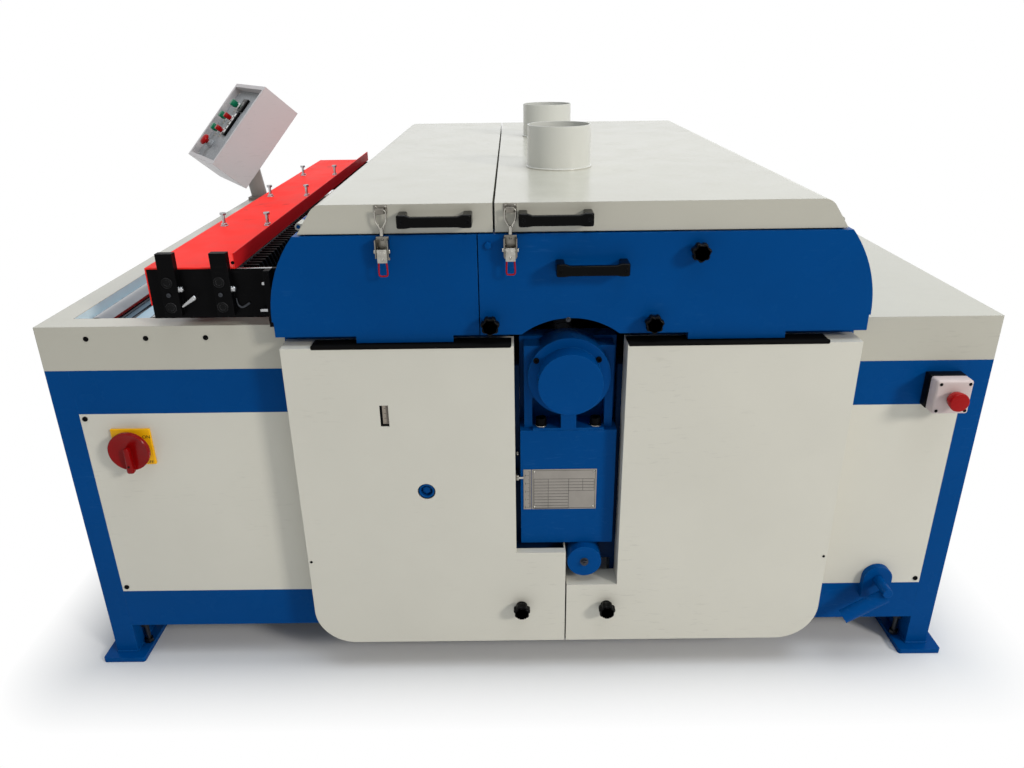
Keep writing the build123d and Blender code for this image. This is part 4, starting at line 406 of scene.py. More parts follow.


# Blue paint: its edges turn a lighter blue through the edge mask, a painted sheen on the edges together with their
# wear.
BLUE_PAINT = Finish("blue_paint", tint(0, 68, 132), 0.26, specular=0.035, mottle=0.07, mottle_scale=3.0, wear=0.4,
                    wear_colour=tint(46, 118, 186), scuff=0.1, scuff_colour=tint(70, 124, 180), edge=0.002)
# Frame paint: its patch darkens the frame and saw body in a box round the bearing column, painted shade inside the
# machine and in the gaps beside the column.
FRAME_PAINT_SHADED_INSIDE = replace(BLUE_PAINT, name="frame_paint_shaded_inside",
                      patch=Patch((-60, -776, 196), (270, 776, 885), tint(10, 30, 58)))
WHITE_PAINT = Finish("white_paint", tint(186, 183, 170), 0.22, specular=0.45, mottle=0.03, mottle_scale=2.5, wear=0.3,
                     wear_colour=tint(216, 215, 210), scuff=0.12, scuff_colour=tint(110, 104, 96), edge=0.002)
# Lid paint: its patch lightens the two dust ports, painted light on the ports.
LID_PAINT_LIT_PORTS = replace(WHITE_PAINT, name="lid_paint_lit_ports", slot="white_paint",
                    patch=Patch((25, -425, 1100), (185, 425, 1200), tint(216, 216, 209), margin=1))
# Table paint: its patch turns the inner face of the infeed table's end wall near-white pale blue, partly the bed's pale
# blue and partly painted light that lifts the wall out of its shade.
TABLE_PAINT_LIT_WALL = replace(WHITE_PAINT, name="table_paint_lit_wall",
                      patch=Patch((-946, -740, 780), (-930, 740, 848.5), tint(225, 248, 255), margin=1))
DOOR_PAINT = replace(WHITE_PAINT, name="door_paint", colour=tint(211, 208, 196), roughness=0.36, specular=0.25,
                     wear_colour=tint(236, 235, 231))
BOX_PAINT = replace(WHITE_PAINT, name="box_paint", colour=tint(198, 191, 190), roughness=0.36, specular=0.25)
# Post paint: a darker copy of the box paint, painted shade on the control post.
POST_PAINT_SHADED = replace(BOX_PAINT, name="post_paint_shaded", colour=tint(156, 151, 146))
# Red paint: its patch darkens the red cover's right flange, painted shade on that side.
RED_PAINT = Finish("red_paint", tint(250, 48, 40), 0.46, specular=0.04, mottle=0.08, mottle_scale=7.0,
                   grain_depth=0.00005, scuff=0.35, scuff_colour=tint(120, 20, 20), edge=0.001,
                   patch=Patch((-557, -790, 966), (-550, 830, 1010), tint(160, 14, 26), 0.75, 1))
BLACK_STEEL = Finish("black_steel", tint(7, 7, 8), 0.42, specular=0.04, mottle=0.25, mottle_scale=30.0,
                     grain_scale=260.0, grain_depth=0.00006, wear=0.4, wear_colour=tint(70, 70, 72), scuff=0.2,
                     scuff_colour=tint(48, 48, 50))
SOCKET_STEEL = replace(BLACK_STEEL, name="socket_steel", slot="black_steel", colour=tint(11, 11, 12), specular=0.08,
                       roughness=0.3, wear=1.0, wear_colour=tint(96, 96, 98))
PALE_BED = Finish("pale_bed", tint(186, 214, 226), 0.34, specular=0.3, mottle=0.06, mottle_scale=9.0, scuff=0.3,
                  scuff_colour=tint(120, 140, 150))
BRIGHT_STEEL = Finish("bright_steel", tint(168, 169, 170), 0.26, metallic=1.0, mottle=0.1, mottle_scale=18.0,
                      grain=Grain.TURNED, grain_scale=900.0, grain_depth=0.00002, edge=0.0006)
CHROME = replace(BRIGHT_STEEL, name="chrome", colour=tint(130, 134, 140), roughness=0.14, roughness_spread=0.03)
# Dark steel: a darker copy of bright steel; on the levelling screws it is painted shade, zinc darkened for the shade
# under the frame.
DARK_STEEL_AND_SHADED_ZINC = replace(BRIGHT_STEEL, name="dark_steel_and_shaded_zinc", slot="zinc", colour=tint(62, 64, 68), roughness=0.36, mottle=0.2)
BLADE_STEEL = replace(BRIGHT_STEEL, name="blade_steel", slot="bright_steel", colour=tint(58, 60, 64), roughness=0.3)
ZINC = Finish("zinc", tint(166, 163, 155), 0.22, metallic=1.0, mottle=0.25, mottle_scale=70.0, grain=Grain.BRUSHED,
              grain_scale=700.0, grain_depth=0.00002, edge=0.0004)
DULL_ZINC = replace(ZINC, name="dull_zinc", slot="zinc", colour=tint(122, 118, 110), roughness=0.3)
CAST_GREY = Finish("cast_grey", tint(92, 98, 102), 0.5, mottle=0.12, mottle_scale=12.0, grain_scale=180.0,
                   grain_depth=0.00018, edge=0.0018)
BLACK_PLASTIC = Finish("black_plastic", tint(7, 7, 8), 0.34, specular=0.08, mottle=0.15, grain_scale=900.0,
                       grain_depth=0.00004)
GLOSS_BLACK = replace(BLACK_PLASTIC, name="gloss_black", slot="black_plastic", colour=tint(5, 5, 5), roughness=0.2,
                      specular=0.06, roughness_spread=0.03)
GREY_PLASTIC = Finish("grey_plastic", tint(200, 185, 182), 0.44, specular=0.3, mottle_scale=30.0, grain_scale=800.0,
                      edge=0.0012)
YELLOW_PLASTIC = replace(GREY_PLASTIC, name="yellow_plastic", colour=tint(238, 176, 8), roughness=0.4, specular=0.2,
                         edge=0.0008)
GREEN_PLASTIC = Finish("green_plastic", tint(0, 112, 78), 0.34, specular=0.2, mottle=0.06, grain_scale=700.0)
RED_PLASTIC = replace(GREEN_PLASTIC, name="red_plastic", colour=tint(158, 8, 10), roughness=0.28, specular=0.14,
                      edge=0.001)
SWITCH_RED = replace(RED_PLASTIC, name="switch_red", slot="red_plastic", colour=tint(132, 5, 6), roughness=0.2)
PANEL_GREY = replace(GREEN_PLASTIC, name="panel_grey", slot="grey_plastic", colour=tint(152, 154, 156), roughness=0.45,
                     mottle=0.35, mottle_scale=160.0, edge=0.0005)
PALE_PLASTIC = replace(GREEN_PLASTIC, name="pale_plastic", slot="grey_plastic", colour=tint(226, 224, 220),
                       roughness=0.38, specular=0.3, mottle=0.03, edge=0.0004)
BELT_RUBBER = Finish("belt_rubber", tint(8, 8, 8), 0.7, specular=0.05, mottle=0.15, mottle_scale=60.0,
                     grain_scale=600.0, grain_depth=0.0001, edge=0.001)
PLATE_METAL = Finish("plate_metal", tint(146, 141, 134), 0.42, "bright_steel", 0.6, mottle=0.06, mottle_scale=25.0,
                     grain=Grain.BRUSHED, grain_scale=800.0, edge=0.0003)
DARK_GLASS = Finish("dark_glass", tint(10, 11, 13), 0.2, "black_plastic", specular=0.1, mottle=0.05, mottle_scale=30.0,
                    grain_scale=400.0, grain_depth=0.00001, edge=0.0004)
MARK_INK = Finish("mark_ink", tint(22, 22, 24), 0.5, "black_plastic", specular=0.15, mottle=0.05, mottle_scale=50.0,
                  edge=0.0001)
RULER_PAINT = Finish("ruler_paint", tint(158, 148, 136), 0.5, "white_paint", specular=0.2, mottle=0.1, edge=0.0003)

SLOT_FINISHES = {
    finish.name: finish
    for finish in (BLUE_PAINT, WHITE_PAINT, RED_PAINT, BLACK_STEEL, PALE_BED, BRIGHT_STEEL, ZINC, CAST_GREY,
                   BLACK_PLASTIC, GREY_PLASTIC, YELLOW_PLASTIC, RED_PLASTIC, GREEN_PLASTIC, BELT_RUBBER)
}
# The levelling screws take dark steel here: painted shade under the frame.
NODE_FINISHES = {
    "base_frame": FRAME_PAINT_SHADED_INSIDE, "saw_body": FRAME_PAINT_SHADED_INSIDE, "frame_panels": DOOR_PAINT, "left_door": DOOR_PAINT,
    "right_door": DOOR_PAINT, "right_lid": LID_PAINT_LIT_PORTS, "infeed_table": TABLE_PAINT_LIT_WALL, "control_box": BOX_PAINT,
    "control_post": POST_PAINT_SHADED, "levelling_screws": DARK_STEEL_AND_SHADED_ZINC, "infeed_feed_roller": DARK_STEEL_AND_SHADED_ZINC,
    "outfeed_feed_roller": DARK_STEEL_AND_SHADED_ZINC, "idler_roller_1": CHROME, "idler_roller_2": CHROME, "idler_roller_3": CHROME,
}


@dataclass(frozen=True)
class Stud:
    """Sizes of a round or many-sided stud, which may have a rounded rim, a socket and another radius at its tip."""

    radius: float
    height: float
    sides: int = 24
    edge: float = 0.0
    recess: float = 0.0
    depth: float = 0.0
    tip: float | None = None


class Form:
    """A shape in its own small frame, standing on its XY plane, in millimetres."""

    def __init__(self) -> None:
        """Starts with nothing."""
        self.mesh: BMesh = bmesh.new()

    @staticmethod
    def _edges(verts: Sequence[BMVert]) -> list[BMEdge]:
        """Gives the edges between the given vertices."""
        chosen = set(verts)
        return [edge for edge in dict.fromkeys(e for v in verts for e in v.link_edges) if chosen.issuperset(edge.verts)]

    def _bevel(self, edges: Sequence[BMEdge], width: float, segments: int = 2) -> None:
        """Rounds edges to some width, in some steps."""
        bmesh.ops.bevel(self.mesh, geom=list(edges), offset=width, offset_type="OFFSET", segments=segments,
                        profile=0.5, affect="EDGES", clamp_overlap=True, material=-1)

    def _grow(self, faces: Sequence[BMFace], rise: float) -> None:
        """Extrudes faces along Z.

        Args:
            faces: the faces.
            rise: how far they go.
        """
        made = bmesh.ops.extrude_face_region(self.mesh, geom=list(faces))
        verts = [item for item in made["geom"] if isinstance(item, BMVert)]
        bmesh.ops.translate(self.mesh, vec=(0, 0, rise), verts=verts)

    def _spin(self, outline: Sequence[BMVert | BMEdge], steps: int) -> "Form":
        """Turns an outline once about the Z axis.

        Args:
            outline: its vertices and edges.
            steps: steps round the axis.

        Returns:
            The form itself.
        """
        bmesh.ops.spin(self.mesh, geom=list(outline), cent=(0, 0, 0), axis=(0, 0, 1), angle=2 * pi, steps=steps,
                       use_merge=True)
        bmesh.ops.remove_doubles(self.mesh, verts=self.mesh.verts[:], dist=MERGE_GAP)
        return self

    @classmethod
    def block(cls, size: Point, edge: float = 0.0, segments: int = 2) -> "Form":
        """Makes a rounded block.

        Args:
            size: its length, width and height.
            edge: radius of its edges.
            segments: steps round each edge.

        Returns:
            The block.
        """
        form = cls()
        place = Matrix.Translation((0, 0, size[2] / 2)) @ Matrix.Diagonal((*size, 1))
        bmesh.ops.create_cube(form.mesh, size=1.0, matrix=place)
        if edge:
            form._bevel(form.mesh.edges[:], edge, segments)
        return form

    @classmethod
    def stud(cls, stud: Stud) -> "Form":
        """Makes a stud.

        Args:
            stud: its sizes.

        Returns:
            The stud.
        """
        form = cls()
        upper = stud.radius if stud.tip is None else stud.tip
        bmesh.ops.create_cone(form.mesh, cap_ends=True, segments=stud.sides, radius1=stud.radius, radius2=upper,
                              depth=stud.height, matrix=Matrix.Translation((0, 0, stud.height / 2)))
        top = max(form.mesh.faces, key=lambda face: face.calc_center_median().z)
        if stud.recess:
            bmesh.ops.inset_region(form.mesh, faces=[top], thickness=upper - stud.recess)
            form._grow([top], -stud.depth)
            bmesh.ops.delete(form.mesh, geom=[top], context="FACES_ONLY")
        if stud.edge:
            rim = {vert for vert in form.mesh.verts
                   if abs(vert.co.z - stud.height) < 1e-4 and vert.co.xy.length > upper * 0.97}
            form._bevel([edge for edge in form.mesh.edges if rim.issuperset(edge.verts)], stud.edge)
        return form

    @classmethod
    def turned(cls, profile: Sequence[Pair], steps: int, closed: bool = False) -> "Form":
        """Turns an outline about the Z axis.

        Args:
            profile: radius and height of each point of the outline.
            steps: steps round the axis.
            closed: whether the outline closes on itself, as a ring's does.

        Returns:
            The turned shape.
        """
        form = cls()
        verts = [form.mesh.verts.new((radius, 0, height)) for radius, height in profile]
        pairs = list(zip(verts, verts[1:])) + ([(verts[-1], verts[0])] if closed else [])
        return form._spin(verts + [form.mesh.edges.new(pair) for pair in pairs], steps)

    @classmethod
    def hoop(cls, radius: float, wire: float) -> "Form":
        """Makes a round hoop of wire about the Z axis.

        Args:
            radius: radius to the wire's middle.
            wire: radius of the wire.

        Returns:
            The hoop.
        """
        form = cls()
        place = Matrix.Translation((radius, 0, 0)) @ Matrix.Rotation(pi / 2, 4, "X")
        ring = bmesh.ops.create_circle(form.mesh, segments=10, radius=wire, matrix=place)["verts"]
        return form._spin(ring + form._edges(ring), 48)

    @classmethod
    def star(cls, radius: float, height: float, lobes: int, depth: float) -> "Form":
        """Makes a lobed hand knob.

        Args:
            radius: radius over its lobes.
            height: its height.
            lobes: how many lobes it has.
            depth: how deep it is cut between the lobes.

        Returns:
            The knob.
        """
        form = cls()
        made = bmesh.ops.create_circle(form.mesh, cap_ends=True, segments=lobes * 10, radius=radius)
        for vert in made["verts"]:
            dip = (1 - cos(lobes * Vector((1, 0)).angle_signed(vert.co.xy))) / 2
            bmesh.ops.scale(form.mesh, vec=(1 - depth / radius * dip**1.5,) * 3, verts=[vert])
        form._grow(form.mesh.faces[:], height)
        rims = [edge for edge in form.mesh.edges if abs(edge.verts[0].co.z - edge.verts[1].co.z) < 1e-6]
        form._bevel(rims, min(radius, height) * 0.2, 3)
        cap = max(form.mesh.faces, key=lambda item: (item.calc_center_median().z, item.calc_area()))
        for width, rise in ((0.3, 0.12), (0.24, 0.05)):
            bmesh.ops.inset_region(form.mesh, faces=[cap], thickness=radius * width, depth=height * rise)
        return form

    @classmethod
    def bridge(cls, length: float, reach: float, foot: Point, bar: Point, edge: float) -> "Form":
        """Makes a bridge handle: a bar with rounded ears whose feet reach back to the wall.

        Args:
            length: length over both feet.
            reach: how far it stands off.
            foot: length of a foot, width of its ear and length of the taper beside it.
            bar: width, thickness and sideways shift of the bar.
            edge: radius of its edges.

        Returns:
            The handle.
        """
        form = cls()
        mesh = form.mesh
        place = Matrix.Translation((0, 0, reach - bar[1] / 2)) @ Matrix.Diagonal((length, bar[0], bar[1], 1))
        bmesh.ops.create_cube(mesh, size=1.0, matrix=place)
        inner = length / 2 - foot[0]
        for x in (-inner, foot[2] - inner, inner - foot[2], inner):
            bmesh.ops.bisect_plane(mesh, geom=mesh.verts[:] + mesh.edges[:] + mesh.faces[:], plane_co=(x, 0, 0),
                                   plane_no=(1, 0, 0))
        backs = [face for face in mesh.faces if face.normal.z < -0.9 and abs(face.calc_center_median().x) > inner]
        for back in backs:
            form._grow([back], bar[1] - reach)
        bmesh.ops.delete(mesh, geom=backs, context="FACES_ONLY")
        ears = [vert for vert in mesh.verts if abs(vert.co.x) > inner - 0.01]
        bmesh.ops.scale(mesh, vec=(1, foot[1] / bar[0], 1), verts=ears)
        bmesh.ops.translate(mesh, vec=(0, bar[2], 0), verts=[vert for vert in mesh.verts if vert not in ears])
        tips = {vert for vert in ears if abs(vert.co.x) > length / 2 - 0.01 and vert.co.z > reach - 0.01}
        form._bevel([item for item in mesh.edges if tips.issuperset(item.verts)], 2 * edge, 5)
        bmesh.ops.recalc_face_normals(mesh, faces=mesh.faces[:])
        sharp = [item for item in mesh.edges if item.is_manifold and item.calc_face_angle(0) > 0.7
                 and max(vert.co.z for vert in item.verts) > 1.0]
        form._bevel(sharp, edge, 3)
        return form

    @classmethod
    def annulus(cls, radius: float, bore: float, thickness: float, teeth: int, gullet: float) -> "Form":
        """Makes a flat toothed disc with a bore, such as a saw blade.

        Args:
            radius: radius over its teeth.
            bore: radius of its bore.
            thickness: its thickness.
            teeth: how many teeth it has.
            gullet: how deep the gullets are.

        Returns:
            The disc.
        """
        form = cls()
        rim, eye = (bmesh.ops.create_circle(form.mesh, segments=teeth * 3, radius=size)["verts"]
                    for size in (radius, bore))
        for index, vert in enumerate(rim):
            share = 1 - (0.0, 1.0, 0.55)[index % 3] * gullet / radius
            bmesh.ops.scale(form.mesh, vec=(share,) * 3, verts=[vert])
        bmesh.ops.bridge_loops(form.mesh, edges=form._edges(rim) + form._edges(eye))
        form._grow(form.mesh.faces[:], thickness)
        return form

    @classmethod
    def wire(cls, points: Sequence[Point], radius: float) -> "Form":
        """Bends a round wire along a smooth line.

        Args:
            points: control points of the line.
            radius: the wire's radius.

        Returns:
            The wire.
        """
        curve = bpy.data.curves.new("wire_line", "CURVE")
        curve.dimensions = "3D"
        curve.bevel_depth = radius
        curve.bevel_resolution = 2
        curve.use_fill_caps = True
        line = curve.splines.new("NURBS")
        line.points.add(len(points) - 1)
        for spot, point in zip(line.points, points):
            spot.co = (*point, 1.0)
        line.order_u = 3
        line.use_endpoint_u = True
        line.resolution_u = 6
        return cls._from_curve(curve)

    @classmethod
    def text(cls, words: str, size: float, thickness: float) -> "Form":
        """Makes raised letters or figures, centred on the origin.

        Args:
            words: what they read.
            size: their height.
            thickness: how far they stand proud.

        Returns:
            The letters.
        """
        curve = bpy.data.curves.new("words", "FONT")
        curve.body = words
        curve.size = size
        curve.extrude = thickness / 2
        curve.resolution_u = 2
        curve.align_x = curve.align_y = "CENTER"
        form = cls._from_curve(curve)
        bmesh.ops.translate(form.mesh, vec=(0, 0, thickness / 2), verts=form.mesh.verts[:])
        return form

    @classmethod
    def _from_curve(cls, curve: Curve) -> "Form":
        """Turns a curve into a form.

        Args:
            curve: the curve, which is used up.

        Returns:
            The form.
        """
        holder = put("holder", curve)
        bpy.context.view_layer.update()
        mesh = bpy.data.meshes.new_from_object(holder.evaluated_get(bpy.context.evaluated_depsgraph_get()))
        form = cls()
        form.mesh.from_mesh(mesh)
        bpy.data.objects.remove(holder)
        bpy.data.curves.remove(curve)
        bpy.data.meshes.remove(mesh)
        bmesh.ops.remove_doubles(form.mesh, verts=form.mesh.verts[:], dist=MERGE_GAP)
        return form


class Piece:
    """One new piece of the object, put together from forms."""

    def __init__(self, name: str) -> None:
        """Starts an empty piece of that name."""
        self.name = name
        self.mesh: BMesh = bmesh.new()

    def add(self, form: Form, place: Matrix = Matrix.Identity(4)) -> "Piece":
        """Adds a form at a place.

        Args:
            form: the form, which is used up.
            place: where it goes.

        Returns:
            The piece itself.
        """
        copy = bpy.data.meshes.new("form")
        bmesh.ops.recalc_face_normals(form.mesh, faces=form.mesh.faces[:])
        bmesh.ops.transform(form.mesh, matrix=place, space=Matrix.Identity(4), verts=form.mesh.verts[:])
        form.mesh.to_mesh(copy)
        form.mesh.free()
        self.mesh.from_mesh(copy)
        bpy.data.meshes.remove(copy)
        return self

    def block(self, low: Point | Vector, high: Point | Vector, edge: float = 0.0, segments: int = 2) -> "Piece":
        """Adds a rounded block.

        Args:
            low: its lowest corner.
            high: its highest corner.
            edge: radius of its edges.
            segments: steps round each edge.

        Returns:
            The piece itself.
        """
        start, end = Vector(low), Vector(high)
        foot = Vector(((start.x + end.x) / 2, (start.y + end.y) / 2, start.z))
        return self.add(Form.block(tuple(end - start), edge, segments), Matrix.Translation(foot))

    def stud(self, stud: Stud, point: Point | Vector, out: Out, turn: float = 0.0) -> "Piece":
        """Adds a stud on a face, turned about its own axis by some degrees."""
        return self.add(Form.stud(stud), facing(point, out, turn))

    def turned(self, profile: Sequence[Pair], steps: int, point: Point | Vector, out: Out) -> "Piece":
        """Adds a turned shape on a face."""
        return self.add(Form.turned(profile, steps), facing(point, out))

    def dress(self, finish: Finish, body: str, *stands_for: str, slot: str = "") -> None:
        """Makes the object, gives it its finish and sets it on its body.

        Args:
            finish: its finish.
            body: body that it rides on.
            stands_for: nodes that it stands for.
            slot: not used.
        """
        bmesh.ops.scale(self.mesh, vec=(MILLIMETRE,) * 3, verts=self.mesh.verts[:])
        for face in self.mesh.faces:
            face.smooth = True
        for edge in self.mesh.edges:
            edge.smooth = edge.is_manifold and edge.calc_face_angle(pi) < SHARP_ANGLE
        data = bpy.data.meshes.new(self.name)
        self.mesh.to_mesh(data)
        self.mesh.free()
        data.materials.append(finish.material())
        made = put(self.name, data)
        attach(made, body)
        if stands_for:
            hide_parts(*stands_for)
        LOG.info("built %s on %s", self.name, body)


@dataclass(frozen=True)
class Lamp:
    """A soft square lamp, in metres and watts."""

    name: str
    place: Point
    target: Point
    size: float
    power: float
    colour: Tint

    def hang(self) -> None:
        """Hangs the lamp in its place, pointing at its target."""
        data = bpy.data.lights.new(self.name, "AREA")
        data.size = self.size
        data.energy = self.power
        data.color = self.colour
        aim = (Vector(self.target) - Vector(self.place)).to_track_quat("-Z", "Y")
        put(self.name, data).matrix_world = Matrix.Translation(self.place) @ aim.to_matrix().to_4x4()


@dataclass
class Studio:
    """Floor, light, background and the photograph's camera."""

    eye: Point = (-0.0067, -2.310, 1.370)
    lens: float = 27.948
    sensor: float = 36.0
    sight: float = 60.0
    pitch: float = 23.1986
    roll: float = -0.80197
    yaw: float = 0.23296
    floor_radius: float = 14.0
    floor_z: float = -0.0005
    floor_tint: Tint = (0.8, 0.8, 0.8)
    shadow_reach: float = 220.0
    sky_tint: Tint = (0.97, 0.99, 1.0)
    sky_level: float = 0.34
    lamps: tuple[Lamp, ...] = (
        Lamp("top_light", (0.8, -0.3, 6.0), (0.0, 0.2, 0.0), 5.0, 250.0, (0.86, 0.93, 1.0)),
        Lamp("front_key", (6.2, -5.8, 4.3), (0.0, -0.8, 0.6), 1.4, 330.0, (1.0, 0.96, 0.9)),
    )

    def build(self) -> None:
        """Sets the whole studio up."""
        self._camera()
        self._world()
        self._floor()
        for lamp in self.lamps:
            lamp.hang()
        bpy.context.scene.view_settings.view_transform = "Standard"

    def _camera(self) -> None:
        """Places the camera as the photograph was taken."""
        data = bpy.data.cameras.new("photo_camera")
        data.sensor_width = self.sensor
        data.lens = self.lens
        data.clip_end = self.sight
        camera = put("photo_camera", data)
        place = Matrix.Translation(self.eye)
        for angle, axis in ((self.yaw, "Z"), (90 - self.pitch, "X"), (self.roll, "Z")):
            place = place @ Matrix.Rotation(radians(angle), 4, axis)
        camera.matrix_world = place
        bpy.context.scene.camera = camera

    @staticmethod
    def _seen(pen: NodePen) -> NodeSocket:
        """Gives the share of a ray that looks at the background itself or at its mirror image.

        Args:
            pen: pen of the tree that it goes in.

        Returns:
            The share.
        """
        path = pen.node("ShaderNodeLightPath").outputs
        mirror = pen.maths("MAXIMUM", path["Is Glossy Ray"], path["Is Transmission Ray"])
        return pen.maths("MAXIMUM", path["Is Camera Ray"], mirror)

    def _world(self) -> None:
        """White background, with a plain soft sky for the light."""
        world = bpy.data.worlds.new("studio_white")
        world.use_nodes = True
        pen = NodePen(world.node_tree)
        sky = world.node_tree.nodes["Background"]
        pen.feed(sky, {"Color": (*self.sky_tint, 1.0), "Strength": self.sky_level})
        white = pen.node("ShaderNodeBackground", {"Color": (1.0, 1.0, 1.0, 1.0)})
        pen.choice(self._seen(pen), sky, white, world.node_tree.nodes["World Output"])
        bpy.context.scene.world = world

    def _floor(self) -> None:
        """Pale round floor that runs out into the white background."""
        shape = bmesh.new()
        place = Matrix.Translation((0, 0, self.floor_z))
        bmesh.ops.create_circle(shape, cap_ends=True, segments=96, radius=self.floor_radius, matrix=place)
        data = bpy.data.meshes.new("studio_floor")
        shape.to_mesh(data)
        shape.free()
        data.materials.append(self._floor_material())
        floor = put("studio_floor", data)

    def _floor_material(self) -> Material:
        """Makes a matt pale floor that is white at a distance from the machine and keeps its shadow near it.

        Returns:
            The material.
        """
        made = bpy.data.materials.new("studio_floor")
        made.use_nodes = True
        pen = NodePen(made.node_tree)
        matt = made.node_tree.nodes["Principled BSDF"]
        pen.feed(matt, {"Base Color": (*self.floor_tint, 1.0), "Roughness": 0.9, "Specular IOR Level": 0.1})
        near = Effects.within(pen, *span("base_frame"), self.shadow_reach)
        far = pen.mapped(near, (0.0, 1.0), (1.0, 0.0))
        share = pen.maths("MULTIPLY", far, self._seen(pen))
        pen.choice(share, matt, pen.node("ShaderNodeEmission"), made.node_tree.nodes["Material Output"])
        return made


class PaintShop:
    """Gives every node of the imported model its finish."""

    def dress(self) -> None:
        """Puts the finish of each node's slot on it, or the node's own."""
        for part in frame["record"]["subparts"]:
            node = part["node"]
            finish = NODE_FINISHES.get(node, SLOT_FINISHES[part["material_slot"]])
            holder = frame["nodes"][node]
            if not holder.material_slots:
                holder.data.materials.append(None)
            for slot in holder.material_slots:
                slot.material = finish.material()
            LOG.info("finished %s in %s", node, finish.name)


@dataclass
class FrameFittings:
    """Panel screws, roller axle ends and the feet's weld seams."""

    screw: Stud = Stud(5.6, 2.4, 20, 0.9, 2.6, 1.4)
    corner_gap: float = 11.0
    screw_z: Pair = (204.0, 643.0)
    axle: Stud = Stud(5.4, 1.4, 28, 0.5, 2.4, 1.0)
    idlers: int = 3
    leg: Pair = (50.0, 100.0)
    weld_radius: float = 2.6
    weld_step: float = 5.0
    weld_z: Pair = (12.5, 13.7)

    def build(self) -> None:
        """Builds the frame's small fittings."""
        self._panel_screws()
        self._axle_ends()
        self._foot_welds()

    def _panel_screws(self) -> None:
        """Dark screws in the corners of the sheet panels on all four sides."""
        low, high = span("frame_panels")
        across, along = (width + self.corner_gap for width in self.leg)
        piece = Piece("panel_screws")
        for z in self.screw_z:
            for side in (-1, 1):
                x, y = side * (high.x - across), side * (high.y - along)
                for place, out in (((x, low.y, z), Out.FRONT), ((x, high.y, z), Out.REAR),
                                   ((low.x, y, z), Out.LEFT), ((high.x, y, z), Out.RIGHT)):
                    piece.stud(self.screw, place, out)
        piece.dress(BLACK_STEEL, "machine_frame")

    def _axle_ends(self) -> None:
        """Dark centred ends of the idle rollers' axles in the table's beams."""
        low, high = span("infeed_table")
        piece = Piece("axle_ends")
        for number in range(1, self.idlers + 1):
            x, _, z = middle(f"idler_roller_{number}")
            for out, y in ((Out.FRONT, low.y), (Out.REAR, high.y)):
                piece.stud(self.axle, (x, y, z), out)
        piece.dress(BLACK_STEEL, "machine_frame")

    def _foot_welds(self) -> None:
        """Painted weld seams round the legs where they stand on the foot plates."""
        low, high = span("frame_panels")
        width, depth = self.leg
        piece = Piece("foot_welds")
        for x in (low.x, high.x - width):
            for y in (low.y, high.y - depth):
                corners = [(x, y), (x + width, y), (x + width, y + depth), (x, y + depth)]
                for start, end in zip(corners, corners[1:] + corners[:1]):
                    piece.add(Form.wire(self._seam(Vector(start), Vector(end)), self.weld_radius))
        piece.dress(BLUE_PAINT, "machine_frame")

    def _seam(self, start: Vector, end: Vector) -> list[Point]:
        """Gives the line of a weld seam, lumpy as one laid by hand.

        Args:
            start: corner where it starts.
            end: corner where it ends.

        Returns:
            The points along it.
        """
        steps = int((end - start).length / self.weld_step)
        spots = (start.lerp(end, step / steps) for step in range(steps + 1))
        return [(spot.x, spot.y, self.weld_z[step % 2]) for step, spot in enumerate(spots)]


